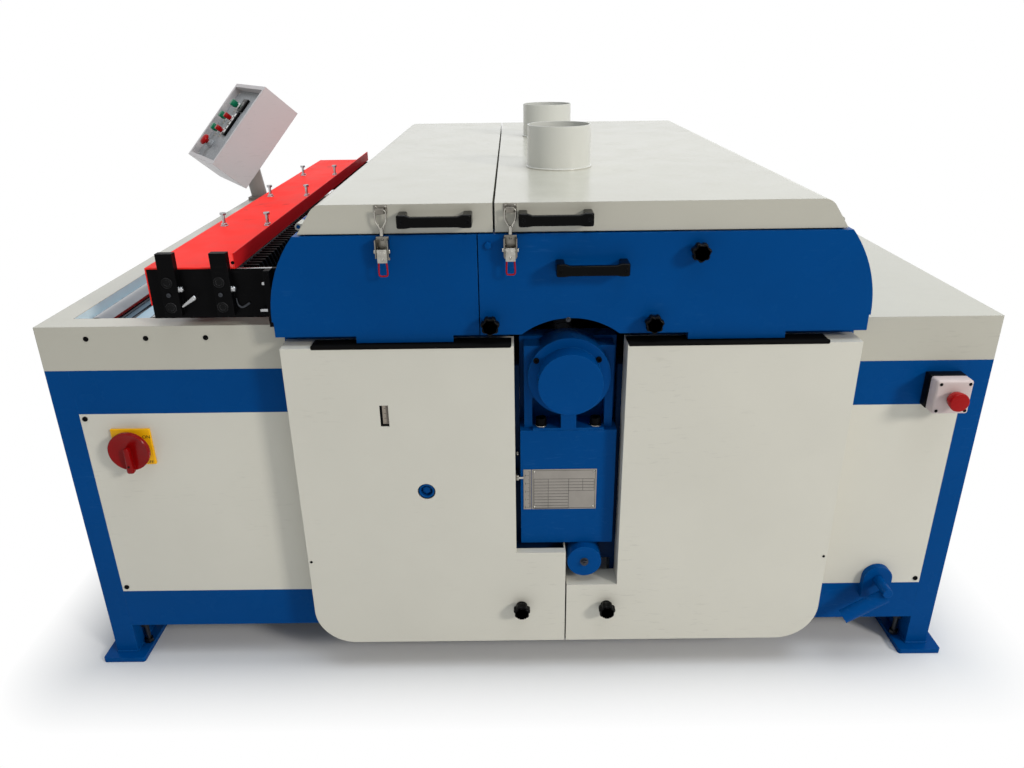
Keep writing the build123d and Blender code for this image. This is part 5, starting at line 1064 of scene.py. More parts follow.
@dataclass
class BearingColumn:
    """Name plate, scale, pointers and screws of the bearing columns."""

    plate: Frame = (27.0, 168.0, 424.0, 524.0)
    strip: Frame = (9.0, 26.0, 424.0, 524.0)
    plate_thickness: float = 1.0
    plate_edge: float = 0.4
    border: float = 3.0
    table_inset: float = 5.0
    rivet_inset: float = 6.0
    columns: Pair = (36.0, 30.0)
    header: float = 24.0
    row_pitch: float = 7.4
    full_rows: int = 4
    rows: int = 10
    short_share: float = 0.57
    line_half: float = 0.3
    mark_half: float = 0.25
    mark_depth: Pair = (-0.15, 0.2)
    scale_foot: float = 5.0
    scale_pitch: float = 2.0
    scale_steps: int = 46
    scale_figures: int = 5
    pointer_z: float = 505.0
    pointer_screw: Stud = Stud(3.0, 3.0, 20, 0.6, 1.4, 1.5)
    pointer_bolt: Pair = (-2.8, 550.0)
    bolt_head: Stud = Stud(4.2, 5.0, 6, 0.6)
    bolt_end: Stud = Stud(2.4, 9.0, 18, 0.5)
    screw_x: Pair = (47.8, 163.3)
    screw_inset: float = 18.0
    ledge: float = 5.0
    cap_screw: Stud = Stud(11.5, 16.0, 32, 1.2, 6.2, 8.0)
    cap_washer: Stud = Stud(13.5, 2.2, 32, 0.5)
    flange_rise: float = 4.0
    flange_places: tuple[Pair, ...] = ((37.0, 778.0), (164.0, 779.0))
    flange_screw: Stud = Stud(6.0, 5.0, 24, 0.7, 3.2, 3.5)
    roller_washer: Stud = Stud(9.5, 1.6, 32, 0.4)
    roller_nut: Stud = Stud(7.8, 6.0, 6, 0.7)
    roller_end: Stud = Stud(4.2, 10.0, 24, 0.8)

    def build(self) -> None:
        """Builds the columns' fittings."""
        front = span("bearing_columns")[0].y
        self._plate(front)
        self._scale(front)
        self._pointers(front)
        self._cap_screws()
        self._flange_screws(front - self.flange_rise)
        self._roller_stud()

    def _marks(self, name: str, front: float, boxes: Sequence[Frame]) -> Piece:
        """Starts a piece of printed marks on a plate.

        Args:
            name: the piece's name.
            front: front of the plate.
            boxes: left, right, bottom and top of each mark.

        Returns:
            The piece.
        """
        piece = Piece(name)
        proud, sunk = (front + depth for depth in self.mark_depth)
        for left, right, low, high in boxes:
            piece.block((left, proud, low), (right, sunk, high))
        return piece

    def _plate(self, face: float) -> None:
        """Bare name plate with a ruled border and empty rows, on four rivets.

        Args:
            face: front of the column.
        """
        x0, x1, z0, z1 = self.plate
        front = face - self.plate_thickness
        plate = Piece("name_plate").block((x0, front, z0), (x1, face, z1), self.plate_edge)
        plate.dress(PLATE_METAL, "arbor_carriage")
        left, right, low, high = x0 + self.border, x1 - self.border, z0 + self.border, z1 - self.border
        start, end, split = x0 + self.table_inset, x1 - self.table_inset, x0 + self.short_share * (x1 - x0)
        levels = [z1 - self.header - self.row_pitch * row for row in range(self.rows + 1)]
        top, short, bottom = levels[0], levels[self.full_rows], levels[-1]
        rules = [(left, right, high), (left, right, low)]
        rules += [(start, end if row <= self.full_rows else split, z) for row, z in enumerate(levels)]
        uprights = [(left, low, high), (right, low, high), (start, bottom, top), (end, short, top),
                    (split, bottom, top), (x0 + self.columns[0], bottom, top), (x1 - self.columns[1], short, top)]
        half = self.line_half
        boxes = [(begin, stop, z - half, z + half) for begin, stop, z in rules]
        boxes += [(x - half, x + half, foot, head) for x, foot, head in uprights]
        self._marks("plate_lines", front, boxes).dress(MARK_INK, "arbor_carriage")
        rivets = Piece("plate_rivets")
        for x in (x0 + self.rivet_inset, x1 - self.rivet_inset):
            for z in (z0 + self.rivet_inset, z1 - self.rivet_inset):
                rivets.turned(RIVET, 16, (x, front, z), Out.FRONT)
        rivets.dress(ZINC, "arbor_carriage")

    def _scale(self, face: float) -> None:
        """Narrow height scale with graduations and figures.

        Args:
            face: front of the column.
        """
        x0, x1, z0, z1 = self.strip
        front = face - self.plate_thickness
        strip = Piece("height_scale").block((x0, front, z0), (x1, face, z1), self.plate_edge)
        strip.dress(PLATE_METAL, "arbor_carriage")
        foot, end, half = z0 + self.scale_foot, x1 - 1, self.mark_half
        boxes = []
        for step in range(self.scale_steps):
            length = 9.0 if step % 10 == 0 else 6.0 if step % 5 == 0 else 3.6
            z = foot + self.scale_pitch * step
            boxes.append((end - length, end, z - half, z + half))
        marks = self._marks("height_marks", front, boxes)
        for number in range(self.scale_figures):
            place = (x0 + 4.2, front + 0.1, foot + 10 * self.scale_pitch * number)
            marks.add(Form.text(str(number), 6.0, 0.3), facing(place, Out.FRONT))
        marks.dress(MARK_INK, "arbor_carriage")

    def _pointers(self, face: float) -> None:
        """Pointer on the fixed guide that reaches over the scale, and the bolt above it.

        Args:
            face: front of the column.
        """
        guide = span("frame_panels")[0].y
        z, front = self.pointer_z, face - 4.0
        pointer = Piece("height_pointer")
        pointer.block((-7.0, front, z - 6.0), (-0.4, guide + 0.2, z + 6.0), 1.2)
        pointer.block((-6.0, front, z - 2.5), (10.0, face - 2.2, z + 2.5), 0.6)
        pointer.stud(self.pointer_screw, (-3.6, front, z), Out.FRONT)
        bolt = (self.pointer_bolt[0], guide, self.pointer_bolt[1])
        pointer.stud(self.bolt_head, bolt, Out.FRONT, 15).stud(self.bolt_end, bolt, Out.FRONT)
        pointer.dress(ZINC, "machine_frame")

    def _cap_screws(self) -> None:
        """Two large black cap screws that hold each bearing housing on its ledge."""
        low, high = span("bearing_columns")
        foot = span("bearing_housings")[0].z + self.ledge
        screws, washers = Piece("housing_screws"), Piece("housing_washers")
        for y in (low.y + self.screw_inset, high.y - self.screw_inset):
            for x in self.screw_x:
                washers.stud(self.cap_washer, (x, y, foot), Out.UP)
                screws.stud(self.cap_screw, (x, y, foot + self.cap_washer.height), Out.UP)
        screws.dress(BLACK_STEEL, "arbor_carriage")
        washers.dress(ZINC, "arbor_carriage")

    def _flange_screws(self, face: float) -> None:
        """Socket screws in the upper part of each bearing housing's flange.

        Args:
            face: front of the flange.
        """
        piece = Piece("flange_screws")
        for out, y in ((Out.FRONT, face), (Out.REAR, -face)):
            for x, z in self.flange_places:
                piece.stud(self.flange_screw, (x, y, z), out)
        piece.dress(BLACK_STEEL, "arbor_carriage")

    def _roller_stud(self) -> None:
        """Threaded stud and nut in the middle of the lift roller."""
        x, _, z = middle("lift_roller")
        front = span("lift_roller")[0].y
        seat = (x, front - self.roller_washer.height, z)
        piece = Piece("roller_stud").stud(self.roller_washer, (x, front, z), Out.FRONT)
        piece.stud(self.roller_nut, seat, Out.FRONT, 12).stud(self.roller_end, seat, Out.FRONT)
        piece.dress(DARK_STEEL_AND_SHADED_ZINC, "machine_frame")


@dataclass
class LowerDoors:
    """Rubber trim, seam seal, ruler and adjuster end of the lower doors."""

    trim_rise: float = 5.5
    trim_drop: float = 4.0
    trim_depth: float = 8.0
    trim_proud: float = 1.5
    seal_depth: float = 46.0
    trims: tuple[tuple[str, float, float], ...] = (("left", -412.0, -13.0), ("right", 219.0, 618.0))
    seam_z: Pair = (88.0, 240.0)
    window: Frame = (-285.0, -267.0, 645.0, 693.0)
    ruler_steps: int = 19
    ruler_pitch: float = 2.2
    mark_half: float = 0.35
    edge_place: Pair = (7.0, 311.0)
    edge_screw: Stud = Stud(3.0, 1.2, 18, 0.4, 1.4, 0.7)
    socket: Pair = (17.2, 12.5)
    socket_reach: float = 11.5

    def build(self) -> None:
        """Builds the doors' fittings."""
        self._trims()
        self._seam_seal()
        self._edge_screws()
        self._ruler()
        self._adjuster_end()

    def _trims(self) -> None:
        """Black rubber trim pushed over each door's top edge, with its seal on the top flange."""
        for side, start, end in self.trims:
            low, high = span(f"{side}_door")
            front = low.y - self.trim_proud
            back = front + self.trim_depth
            piece = Piece(f"{side}_door_trim")
            piece.block((start, front, high.z - self.trim_drop), (end, back, high.z + self.trim_rise), 3.4, 4)
            piece.block((start, back - 1.0, high.z - 0.2), (end, front + self.seal_depth, high.z + 2.4), 0.8)
            piece.dress(BELT_RUBBER, f"{side}_door")

    def _seam_seal(self) -> None:
        """Dark seal on the left door's edge that closes the seam between the doors."""
        low, high = span("left_door")
        foot, top = self.seam_z
        seal = Piece("door_seam_seal")
        seal.block((high.x - 0.2, low.y + 1.5, foot), (high.x + 2.0, low.y + 12.0, top), 0.6)
        seal.dress(BELT_RUBBER, "left_door")

    def _edge_screws(self) -> None:
        """Small dark screw near the outer edge of each door."""
        inset, z = self.edge_place
        for side in SIDES:
            low, high = span(f"{side}_door")
            x = low.x + inset if side == "left" else high.x - inset
            screw = Piece(f"{side}_door_screw").stud(self.edge_screw, (x, low.y, z), Out.FRONT)
            screw.dress(BLACK_STEEL, f"{side}_door")

    def _ruler(self) -> None:
        """Ruler that shows through the window of the left door, in a dark holder."""
        x0, x1, z0, z1 = self.window
        back = span("left_door")[0].y + 3.0
        strip = Piece("door_ruler").block((x0 + 5.0, back + 0.2, z0 + 5.0), (x1 + 6.0, back + 1.6, z1 + 8.0), 0.3)
        strip.dress(RULER_PAINT, "left_door")
        holder = Piece("ruler_holder")
        holder.block((x0 - 9.0, back, z0 - 12.0), (x0 + 4.8, back + 3.0, z1 + 12.0), 0.6)
        holder.block((x0 + 4.0, back, z0 - 12.0), (x1 + 9.0, back + 3.0, z0 + 4.8), 0.6)
        holder.dress(BLACK_STEEL, "left_door")
        marks = Piece("ruler_marks")
        end, half = x1 - 1.0, self.mark_half
        for step in range(self.ruler_steps):
            z = z0 + 7.0 + self.ruler_pitch * step
            length = 8.5 if step % 5 == 0 else 5.0
            marks.block((end - length, back, z - half), (end, back + 0.4, z + half))
        marks.dress(MARK_INK, "left_door")

    def _adjuster_end(self) -> None:
        """Hollow end of the height adjusting shaft, with the hexagon that a spanner turns inside it."""
        x, _, z = middle("adjusting_shaft")
        place = facing((x, span("adjusting_shaft")[0].y, z), Out.FRONT)
        outer, inner = self.socket
        reach = self.socket_reach
        ring = [(inner, -0.2), (outer, -0.2), (outer, reach - 1.2), (outer - 1.2, reach), (inner + 0.8, reach),
                (inner, reach - 0.8)]
        piece = Piece("adjuster_socket").add(Form.turned(ring, 40, True), place)
        piece.add(Form.stud(Stud(inner - 3.0, reach - 5.0, 6, 1.0)), place)
        piece.dress(BLUE_PAINT, "adjusting_shaft")


@dataclass
class LidFittings:
    """Handles, toggle latches and small bolts of the lids and the access cover."""

    handles: tuple[tuple[str, str], ...] = (("left_lid_handle", "left_lid"), ("right_lid_handle", "right_lid"),
                                            ("cover_handle", "access_cover"))
    handle_foot: Point = (17.0, 24.5, 9.0)
    handle_bar: Point = (19.5, 13.0, -1.0)
    handle_edge: float = 3.0
    handle_screw: Stud = Stud(4.6, 0.7, 20, 0.3, 2.4, 0.5)
    weld_radius: float = 3.2
    port_x: float = 105.0
    port_y: float = 345.0
    port_radius: float = 75.6
    port_height: float = 97.0
    bail_wire: float = 1.9
    loop_wire: float = 1.6
    bail_sleeve: Stud = Stud(3.8, 16.0, 20, 0.6)
    pivot_cap: Stud = Stud(4.2, 2.4, 20, 0.9)
    bolt_place: Pair = (-55.0, 1018.0)
    bolt_head: Stud = Stud(7.5, 5.0, 6, 1.0)
    pin_place: Pair = (100.0, 868.0)
    pin: tuple[Pair, ...] = ((0, 6.0), (2.2, 5.6), (2.8, 4.2), (2.8, 1.2), (5.0, 1.0), (5.0, 0))

    def build(self) -> None:
        """Builds the handles, the latches, the ports' weld seams and the cover's bolts."""
        for node, body in self.handles:
            self._handle(node, body)
        for side in SIDES:
            self._keeper(side)
            self._base(side)
            self._lever(side)
        self._port_welds()
        self._cover_bolts()

    def _handle(self, node: str, body: str) -> None:
        """Bridge handle with its two screws.

        Args:
            node: handle node that it stands for.
            body: body that it rides on.
        """
        low, high = span(node)
        x, _, z = middle(node)
        grip = Form.bridge(high.x - low.x, high.y - low.y, self.handle_foot, self.handle_bar, self.handle_edge)
        piece = Piece(f"{node}_grip").add(grip, facing((x, high.y, z), Out.FRONT))
        piece.dress(GLOSS_BLACK, body, node)
        screws = Piece(f"{node}_screws")
        for end in (low.x + self.handle_foot[0] / 2, high.x - self.handle_foot[0] / 2):
            screws.stud(self.handle_screw, (end, low.y, z), Out.FRONT)
        screws.dress(BLACK_STEEL, body)

    @staticmethod
    def _loop(x: float, y: float, half: Sequence[Pair], radius: float) -> Form:
        """Bends a wire with two equal halves about X, from how far out and how high one half's points are."""
        line = [(x - out, y, z) for out, z in half] + [(x + out, y, z) for out, z in reversed(half)]
        return Form.wire(line, radius)

    def _keeper(self, side: str) -> None:
        """Keeper plate on the lid with the forked wire bail that hangs from it.

        Args:
            side: left or right.
        """
        node = f"{side}_latch_bail"
        low, high = span(node)
        x, wall, top, foot = middle(node).x, high.y, high.z, low.z
        plate = Piece(f"{side}_latch_keeper")
        plate.block((x - 12.5, wall - 2.0, top - 14.0), (x + 12.5, wall, top + 2.0), 0.8)
        plate.block((x - 8.0, low.y + 1.0, top - 13.0), (x + 8.0, wall - 1.0, top - 8.0), 1.4)
        plate.block((x - 8.0, low.y, top - 13.0), (x + 8.0, low.y + 3.0, top - 2.0), 1.2)
        for shift in (-9.0, 9.0):
            plate.turned(RIVET, 18, (x + shift, wall - 2.0, top - 2.5), Out.FRONT)
        plate.dress(DULL_ZINC, f"{side}_lid")
        y = low.y + 5.5
        half = [(1.6, foot + 1.0), (1.6, foot + 15.0), (10.5, foot + 27.0), (10.5, top - 10.0), (7.5, top - 6.0)]
        bail = Piece(f"{side}_latch_wire").add(self._loop(x, y, half, self.bail_wire))
        bail.stud(self.bail_sleeve, (x, y, foot + 0.2), Out.UP)
        bail.dress(ZINC, f"{side}_lid", node)

    def _base(self, side: str) -> None:
        """Latch base plate with two ears and its rivets.

        Args:
            side: left or right.
        """
        node = f"{side}_latch_base"
        low, high = span(node)
        piece = Piece(f"{side}_latch_plate")
        piece.block((low.x + 1.0, high.y - 2.5, low.z), (high.x - 1.0, high.y, high.z), 0.7)
        for ear in (low.x, high.x - 2.6):
            piece.block((ear, low.y, low.z + 8.0), (ear + 2.6, high.y - 1.0, high.z - 3.0), 0.8)
        for z in (low.z + 5.5, high.z - 5.5):
            piece.turned(RIVET, 18, (middle(node).x, high.y - 2.5, z), Out.FRONT)
        piece.dress(DULL_ZINC, "machine_frame" if side == "left" else "access_cover", node)

    def _lever(self, side: str) -> None:
        """Latch lever: a pressed plate on its pivot, ending in a red coated loop.

        Args:
            side: left or right.
        """
        node, body = f"{side}_latch_lever", f"{side}_latch"
        low, high = span(node)
        x, foot = middle(node).x, low.z
        pivot_y, pivot_z = high.y - 6.0, high.z - 6.0
        half = (high.x - low.x) / 2 - 3.4
        piece = Piece(f"{side}_latch_arm")
        piece.block((x - half, low.y, foot + 27.0), (x + half, low.y + 2.6, pivot_z + 5.0), 0.8)
        for cheek in (x - half, x + half - 2.2):
            piece.block((cheek, low.y + 1.0, pivot_z - 12.0), (cheek + 2.2, high.y - 1.0, pivot_z + 5.5), 0.8)
        piece.block((x - half + 1.5, low.y - 1.0, pivot_z - 4.5), (x + half - 1.5, low.y + 1.0, pivot_z - 0.5), 0.7)
        piece.turned(RIVET, 20, (x, low.y, foot + 34.0), Out.FRONT)
        piece.stud(Stud(2.9, high.x - low.x + 5.0, 20, 0.6), (low.x - 2.5, pivot_y, pivot_z), Out.RIGHT)
        for end, out in ((low.x - 0.2, Out.LEFT), (high.x + 0.2, Out.RIGHT)):
            piece.stud(self.pivot_cap, (end, pivot_y, pivot_z), out)
        piece.dress(ZINC, body, node)
        arm = [(7.2, foot + 30.0), (8.2, foot + 14.0), (8.2, foot + 2.6), (4.0, foot + 1.6)]
        Piece(f"{side}_latch_loop").add(self._loop(x, low.y + 1.6, arm, self.loop_wire)).dress(RED_PLASTIC, body)

    def _port_welds(self) -> None:
        """Weld seams round the feet of the two dust ports."""
        z = span("right_lid")[1].z - self.port_height + 0.6
        piece = Piece("port_welds")
        for y in (-self.port_y, self.port_y):
            piece.add(Form.hoop(self.port_radius, self.weld_radius), Matrix.Translation((self.port_x, y, z)))
        piece.dress(LID_PAINT_LIT_PORTS, "right_lid")

    def _cover_bolts(self) -> None:
        """Painted bolt head and the small pin over the arch on the access cover."""
        face = span("access_cover")[0].y
        (bolt_x, bolt_z), (pin_x, pin_z) = self.bolt_place, self.pin_place
        bolt = Piece("cover_bolt").stud(self.bolt_head, (bolt_x, face, bolt_z), Out.FRONT, 10)
        bolt.dress(BLUE_PAINT, "access_cover")
        Piece("arch_pin").turned(self.pin, 20, (pin_x, face, pin_z), Out.FRONT).dress(DARK_STEEL_AND_SHADED_ZINC, "access_cover")


@dataclass
class StarKnobs:
    """Hand knobs of the access cover and the lower doors."""

    radius: float = 19.0
    height: float = 18.0
    lobes: int = 7
    depth: float = 3.4
    boss: Stud = Stud(13.0, 9.0, 28, 0.8, tip=10.0)
    stem_radius: float = 5.0
    cover_places: tuple[Pair, ...] = ((-54.0, 863.0), (267.0, 863.0), (347.0, 1004.0))

    def build(self) -> None:
        """Builds every hand knob."""
        cover = span("access_cover")[0].y
        piece = Piece("cover_star_knobs")
        for x, z in self.cover_places:
            self._knob(piece, (x, cover, z), span("cover_knobs")[1].y)
        piece.dress(BLACK_PLASTIC, "access_cover", "cover_knobs")
        for side in SIDES:
            node = f"{side}_door_knob"
            x, _, z = middle(node)
            knob = Piece(f"{side}_door_star_knob")
            self._knob(knob, (x, span(f"{side}_door")[0].y, z), span(node)[1].y)
            knob.dress(BLACK_PLASTIC, node, node)

    def _knob(self, piece: Piece, foot: Point, stem_end: float) -> None:
        """Adds one knob with its boss and stem.

        Args:
            piece: piece to add it to.
            foot: where its axis meets the face.
            stem_end: how far back its stem reaches.
        """
        x, y, z = foot
        piece.stud(self.boss, (x, y - 0.3, z), Out.FRONT)
        star = Form.star(self.radius, self.height, self.lobes, self.depth)
        piece.add(star, facing((x, y - self.boss.height, z), Out.FRONT, 12))
        piece.stud(Stud(self.stem_radius, stem_end - y, 20, 0.8), foot, Out.REAR)


@dataclass
class KickbackUnit:
    """Sockets, bolts and slots of the kickback plates, and the red cover's bolts."""

    bar_face: float = 5.0
    plate_face: float = 22.0
    bar_x: Pair = (-691.0, -588.0)
    socket: tuple[Pair, ...] = ((6.0, -4.0), (6.0, 0.6), (10.2, 1.4), (11.0, 0.6), (11.0, -0.5))
    socket_floor: Stud = Stud(6.0, 0.8, 24)
    socket_rows: Pair = (944.0, 893.0)
    set_screw: Stud = Stud(4.4, 2.6, 24, 0.6, 2.2, 1.6)
    set_row: float = 919.0
    bar_side: Pair = (-672.0, -567.0)
    side_bolt_z: float = 928.0
    side_bolt_out: float = 8.0
    side_washer: Stud = Stud(7.4, 1.4, 28, 0.4)
    side_dome: tuple[Pair, ...] = ((0, 8.0), (3.2, 7.6), (5.4, 5.6), (6.0, 3.0), (6.0, 0))
    wedge: tuple[Pair, ...] = ((-670.0, 894.0), (-644.0, 911.5))
    wedge_radii: Pair = (2.6, 5.6)
    wedge_dome: tuple[Pair, ...] = ((5.6, 0), (5.0, 2.6), (3.2, 4.6), (0, 5.4))
    wedge_post: Stud = Stud(4.6, 12.0, 20)
    arc: tuple[Pair, ...] = ((-564.0, 907.0), (-563.5, 892.0), (-556.0, 887.5), (-548.0, 890.0), (-538.0, 897.0))
    arc_radius: float = 2.6
    pin_x: float = -489.0
    pin_inset: float = 11.0
    pins: tuple[Pair, ...] = ((939.0, 16.0), (884.0, 26.0))
    pin_nut: Stud = Stud(6.5, 4.0, 6, 0.8)
    edge_x: Pair = (-556.0, -486.0)
    plate_top: float = 967.0
    screw_place: Pair = (-561.0, 979.0)
    screw: Stud = Stud(3.6, 1.6, 20, 0.5, 1.8, 1.0)
    red_top: float = 28.0
    red_bolt_x: Pair = (-710.0, -604.0)
    red_bolt_y: Point = (-375.0, 30.0, 430.0)
    red_bolt: tuple[tuple[Stud, float], ...] = (
        (Stud(9.5, 1.4, 28, 0.5), 0.0), (Stud(8.0, 4.6, 6, 0.5), 1.4), (Stud(3.8, 28.0, 20, 0.5), 1.4),
        (Stud(8.4, 5.4, 6, 0.5), 26.6))

    def build(self) -> None:
        """Builds the unit's fittings."""
        low, high = span("kickback_frame")
        self._bar_screws(low.y + self.bar_face)
        self._plate_bolts(low.y + self.plate_face)
        self._bracket_bolts(low.y, high.y)
        self._red_bolts()

    def _bar_screws(self, face: float) -> None:
        """Socket screws and set screws in the two front clamp bars.

        Args:
            face: front of the clamp bars.
        """
        dark, shiny = Piece("clamp_sockets"), Piece("clamp_set_screws")
        for x in self.bar_x:
            for z in self.socket_rows:
                dark.turned(self.socket, 32, (x, face, z), Out.FRONT)
                dark.stud(self.socket_floor, (x, face + 0.5, z), Out.FRONT)
            shiny.stud(self.set_screw, (x, face, self.set_row), Out.FRONT)
        dark.dress(SOCKET_STEEL, "machine_frame")
        shiny.dress(DARK_STEEL_AND_SHADED_ZINC, "machine_frame", slot="bright_steel")

    def _plate_bolts(self, face: float) -> None:
        """Bright bolts beside the bars, the slanted bright wedge, and a dark rod along the front plate's arc slot that
        paints the shade inside it.

        Args:
            face: front of the side plate.
        """
        bolts = Piece("plate_bolts")
        for x in self.bar_side:
            y, z = face - self.side_bolt_out, self.side_bolt_z
            bolts.stud(self.side_washer, (x, y, z), Out.RIGHT)
            bolts.turned(self.side_dome, 24, (x + 1.2, y, z), Out.RIGHT)
        thin, thick = (Vector((x, face - self.wedge_post.height, z)) for x, z in self.wedge)
        run = thick - thin
        place = framed(thin, Vector((0, -1, 0)), run.normalized())
        bolts.add(Form.stud(Stud(self.wedge_radii[0], run.length, 24, tip=self.wedge_radii[1])), place)
        bolts.add(Form.turned(self.wedge_dome, 24), place @ Matrix.Translation((0, 0, run.length)))
        bolts.stud(self.wedge_post, (thick.x, face, thick.z), Out.FRONT)
        bolts.dress(BRIGHT_STEEL, "machine_frame")
        # A dark rod laid along the arc slot: painted shade standing in for the shaded inside of the slot.
        slot = Piece("arc_slot_shade_rod").add(Form.wire([(x, face - 0.8, z) for x, z in self.arc], self.arc_radius))
        slot.dress(DARK_STEEL_AND_SHADED_ZINC, "machine_frame", slot="black_steel")

    def _bracket_bolts(self, front: float, rear: float) -> None:
        """Bolts that hold each end bracket, the bright plate edge and the cover's small screw.

        Args:
            front: front of the kickback frame.
            rear: its rear.
        """
        piece = Piece("bracket_bolts")
        for y in (front + self.pin_inset, rear - self.pin_inset):
            for z, reach in self.pins:
                for part in (self.pin_nut, Stud(3.6, reach, 20, 0.8)):
                    piece.stud(part, (self.pin_x, y, z), Out.LEFT)
        piece.dress(BRIGHT_STEEL, "machine_frame")
        (start, end), face, top = self.edge_x, front + self.plate_face, self.plate_top
        # A thin bright steel strip along the front plate's top edge, which shows as a bright line there.
        edge = Piece("plate_edge_strip").block((start, face + 0.2, top - 0.5), (end, face + 8.0, top + 0.5), 0.2)
        edge.dress(BRIGHT_STEEL, "machine_frame")
        x, z = self.screw_place
        screw = Piece("cover_screw").stud(self.screw, (x, span("red_cover")[0].y, z), Out.FRONT)
        screw.dress(BLACK_STEEL, "machine_frame")

    def _red_bolts(self) -> None:
        """Six adjusting bolts with lock nuts on the red cover."""
        top = span("red_cover")[1].z - self.red_top
        piece = Piece("red_cover_bolts")
        for y in self.red_bolt_y:
            for x in self.red_bolt_x:
                for part, lift in self.red_bolt:
                    piece.stud(part, (x, y, top + lift), Out.UP, 20)
        piece.dress(BRIGHT_STEEL, "machine_frame")


@dataclass
class ControlStation:
    """Panel, buttons and meters of the leaning control box."""

    centre: Point = (-985.0, 690.0, 1080.0)
    yaw: float = 33.0
    tilt: float = 48.0
    thickness: float = 137.0
    recess: float = 22.0
    panel: Point = (291.0, 321.0, 0.8)
    screw_inset: float = 10.0
    screw: tuple[Pair, ...] = ((0, 2.4), (3.0, 1.8), (4.4, 0))
    start_caps: tuple[tuple[str, float, float], ...] = (
        ("start_button", 80.0, 62.0), ("feed_start_button", 26.0, 100.0), ("saw_start_button", -28.0, 100.0))
    stop_caps: tuple[tuple[str, float, float], ...] = (
        ("feed_stop_button", 26.0, 40.0), ("saw_stop_button", -28.0, 40.0))
    start_size: float = 22.0
    stop_size: float = 17.0
    stem: Stud = Stud(7.9, 26.0, 20)
    bezel: tuple[Pair, ...] = ((9.0, 0), (14.5, 0), (14.5, 2.2), (12.9, 3.8), (9.0, 3.8))
    label: Point = (9.0, 26.0, 0.6)
    label_drop: float = 20.5
    meter: Frame = (6.0, -12.0, 92.0, 26.0)
    gauge: Point = (84.0, -12.0, 44.0)
    meter_rim: float = 6.0
    meter_height: float = 9.2
    cells: int = 5
    cell: Point = (13.0, 18.0, 0.6)
    cell_pitch: float = 17.0
    window: Point = (32.0, 32.0, 1.0)
    dial_drop: float = 11.0
    stop_place: Pair = (-88.0, 66.0)
    collar: tuple[Pair, ...] = ((9.0, 0), (17.0, 0), (17.0, 3.0), (14.0, 6.0), (12.5, 17.0), (9.0, 17.0))
    head: tuple[Pair, ...] = ((0, -16.8), (7.9, -16.8), (7.9, 22.6), (16.0, 23.0), (19.4, 25.4), (20.0, 29.0),
                              (19.0, 34.0), (15.0, 37.6), (8.0, 39.0), (0, 39.4))

    def _place(self, row: float, column: float, height: float) -> Matrix:
        """Gives a place on the panel face.

        Args:
            row: how far up the panel.
            column: how far from the front.
            height: how far off the panel.

        Returns:
            The place.
        """
        yaw, tilt = radians(self.yaw), radians(self.tilt)
        up = Vector((cos(yaw) * cos(tilt), sin(yaw) * cos(tilt), sin(tilt)))
        normal = Vector((-cos(yaw) * sin(tilt), -sin(yaw) * sin(tilt), cos(tilt)))
        lift = self.thickness / 2 - self.recess + height
        return framed(self.centre, up, normal) @ Matrix.Translation((row, column, lift))

    def build(self) -> None:
        """Builds the panel's dress."""
        self._face()
        self._bezels()
        self._meters()
        for caps, size, finish in ((self.start_caps, self.start_size, GREEN_PLASTIC),
                                   (self.stop_caps, self.stop_size, RED_PLASTIC)):
            for node, row, column in caps:
                piece = Piece(f"{node}_cap").add(Form.stud(self.stem), self._place(row, column, -16.0))
                piece.add(Form.block((size, size, 20.0), 2.2, 3), self._place(row, column, 9.0))
                piece.dress(finish, node, node)
        self._stop()

    def _face(self) -> None:
        """Speckled grey panel face with a screw in each corner."""
        face = Piece("panel_face").add(Form.block(self.panel, 0.3), self._place(0, 0, 0))
        face.dress(PANEL_GREY, "machine_frame")
        screws = Piece("panel_face_screws")
        across, along = (size / 2 - self.screw_inset for size in self.panel[:2])
        for row in (-across, across):
            for column in (-along, along):
                screws.add(Form.turned(self.screw, 20), self._place(row, column, self.panel[2]))
        screws.dress(ZINC, "machine_frame")

    def _bezels(self) -> None:
        """Pale ring under every button, and a bare label plate below it."""
        rings, labels = Piece("button_bezels"), Piece("button_labels")
        for _, row, column in self.start_caps + self.stop_caps:
            rings.add(Form.turned(self.bezel, 32, True), self._place(row, column, self.panel[2]))
            labels.add(Form.block(self.label, 0.2), self._place(row - self.label_drop, column, self.panel[2]))
        rings.dress(PALE_PLASTIC, "machine_frame")
        labels.dress(PLATE_METAL, "machine_frame", slot="grey_plastic")

    def _meters(self) -> None:
        """Strip meter with five pale cells, and the square meter above it."""
        row, column, length, width = self.meter
        top, side, size = self.gauge
        rim, height = self.meter_rim, self.meter_height
        housing = Piece("meter_frames")
        for x, y, long, wide in ((row, column, length, width), (top, side, size, size)):
            housing.add(Form.block((long + rim, wide + rim, height), 1.4), self._place(x, y, self.panel[2]))
        housing.dress(BLACK_PLASTIC, "machine_frame")
        face = height + 0.4
        cells = Piece("meter_cells")
        for number in range(self.cells):
            shift = (number - self.cells // 2) * self.cell_pitch
            cells.add(Form.block(self.cell, 0.2), self._place(row + shift, column, face))
        cells.dress(PALE_PLASTIC, "machine_frame")
        glass = Piece("gauge_window").add(Form.block(self.window, 0.4), self._place(top, side, face))
        glass.dress(DARK_GLASS, "machine_frame")
        marks = Piece("gauge_marks")
        dial = self._place(top - self.dial_drop, side, face + self.window[2])
        for turn, length, start in [(-54 + 18 * step, 4.0, 21.0) for step in range(7)] + [(-28, 20.0, 9.0)]:
            place = dial @ Matrix.Rotation(radians(turn), 4, "Z") @ Matrix.Translation((start, 0, 0))
            marks.add(Form.block((length, 0.9, 0.3)), place)
        marks.dress(PALE_PLASTIC, "machine_frame")

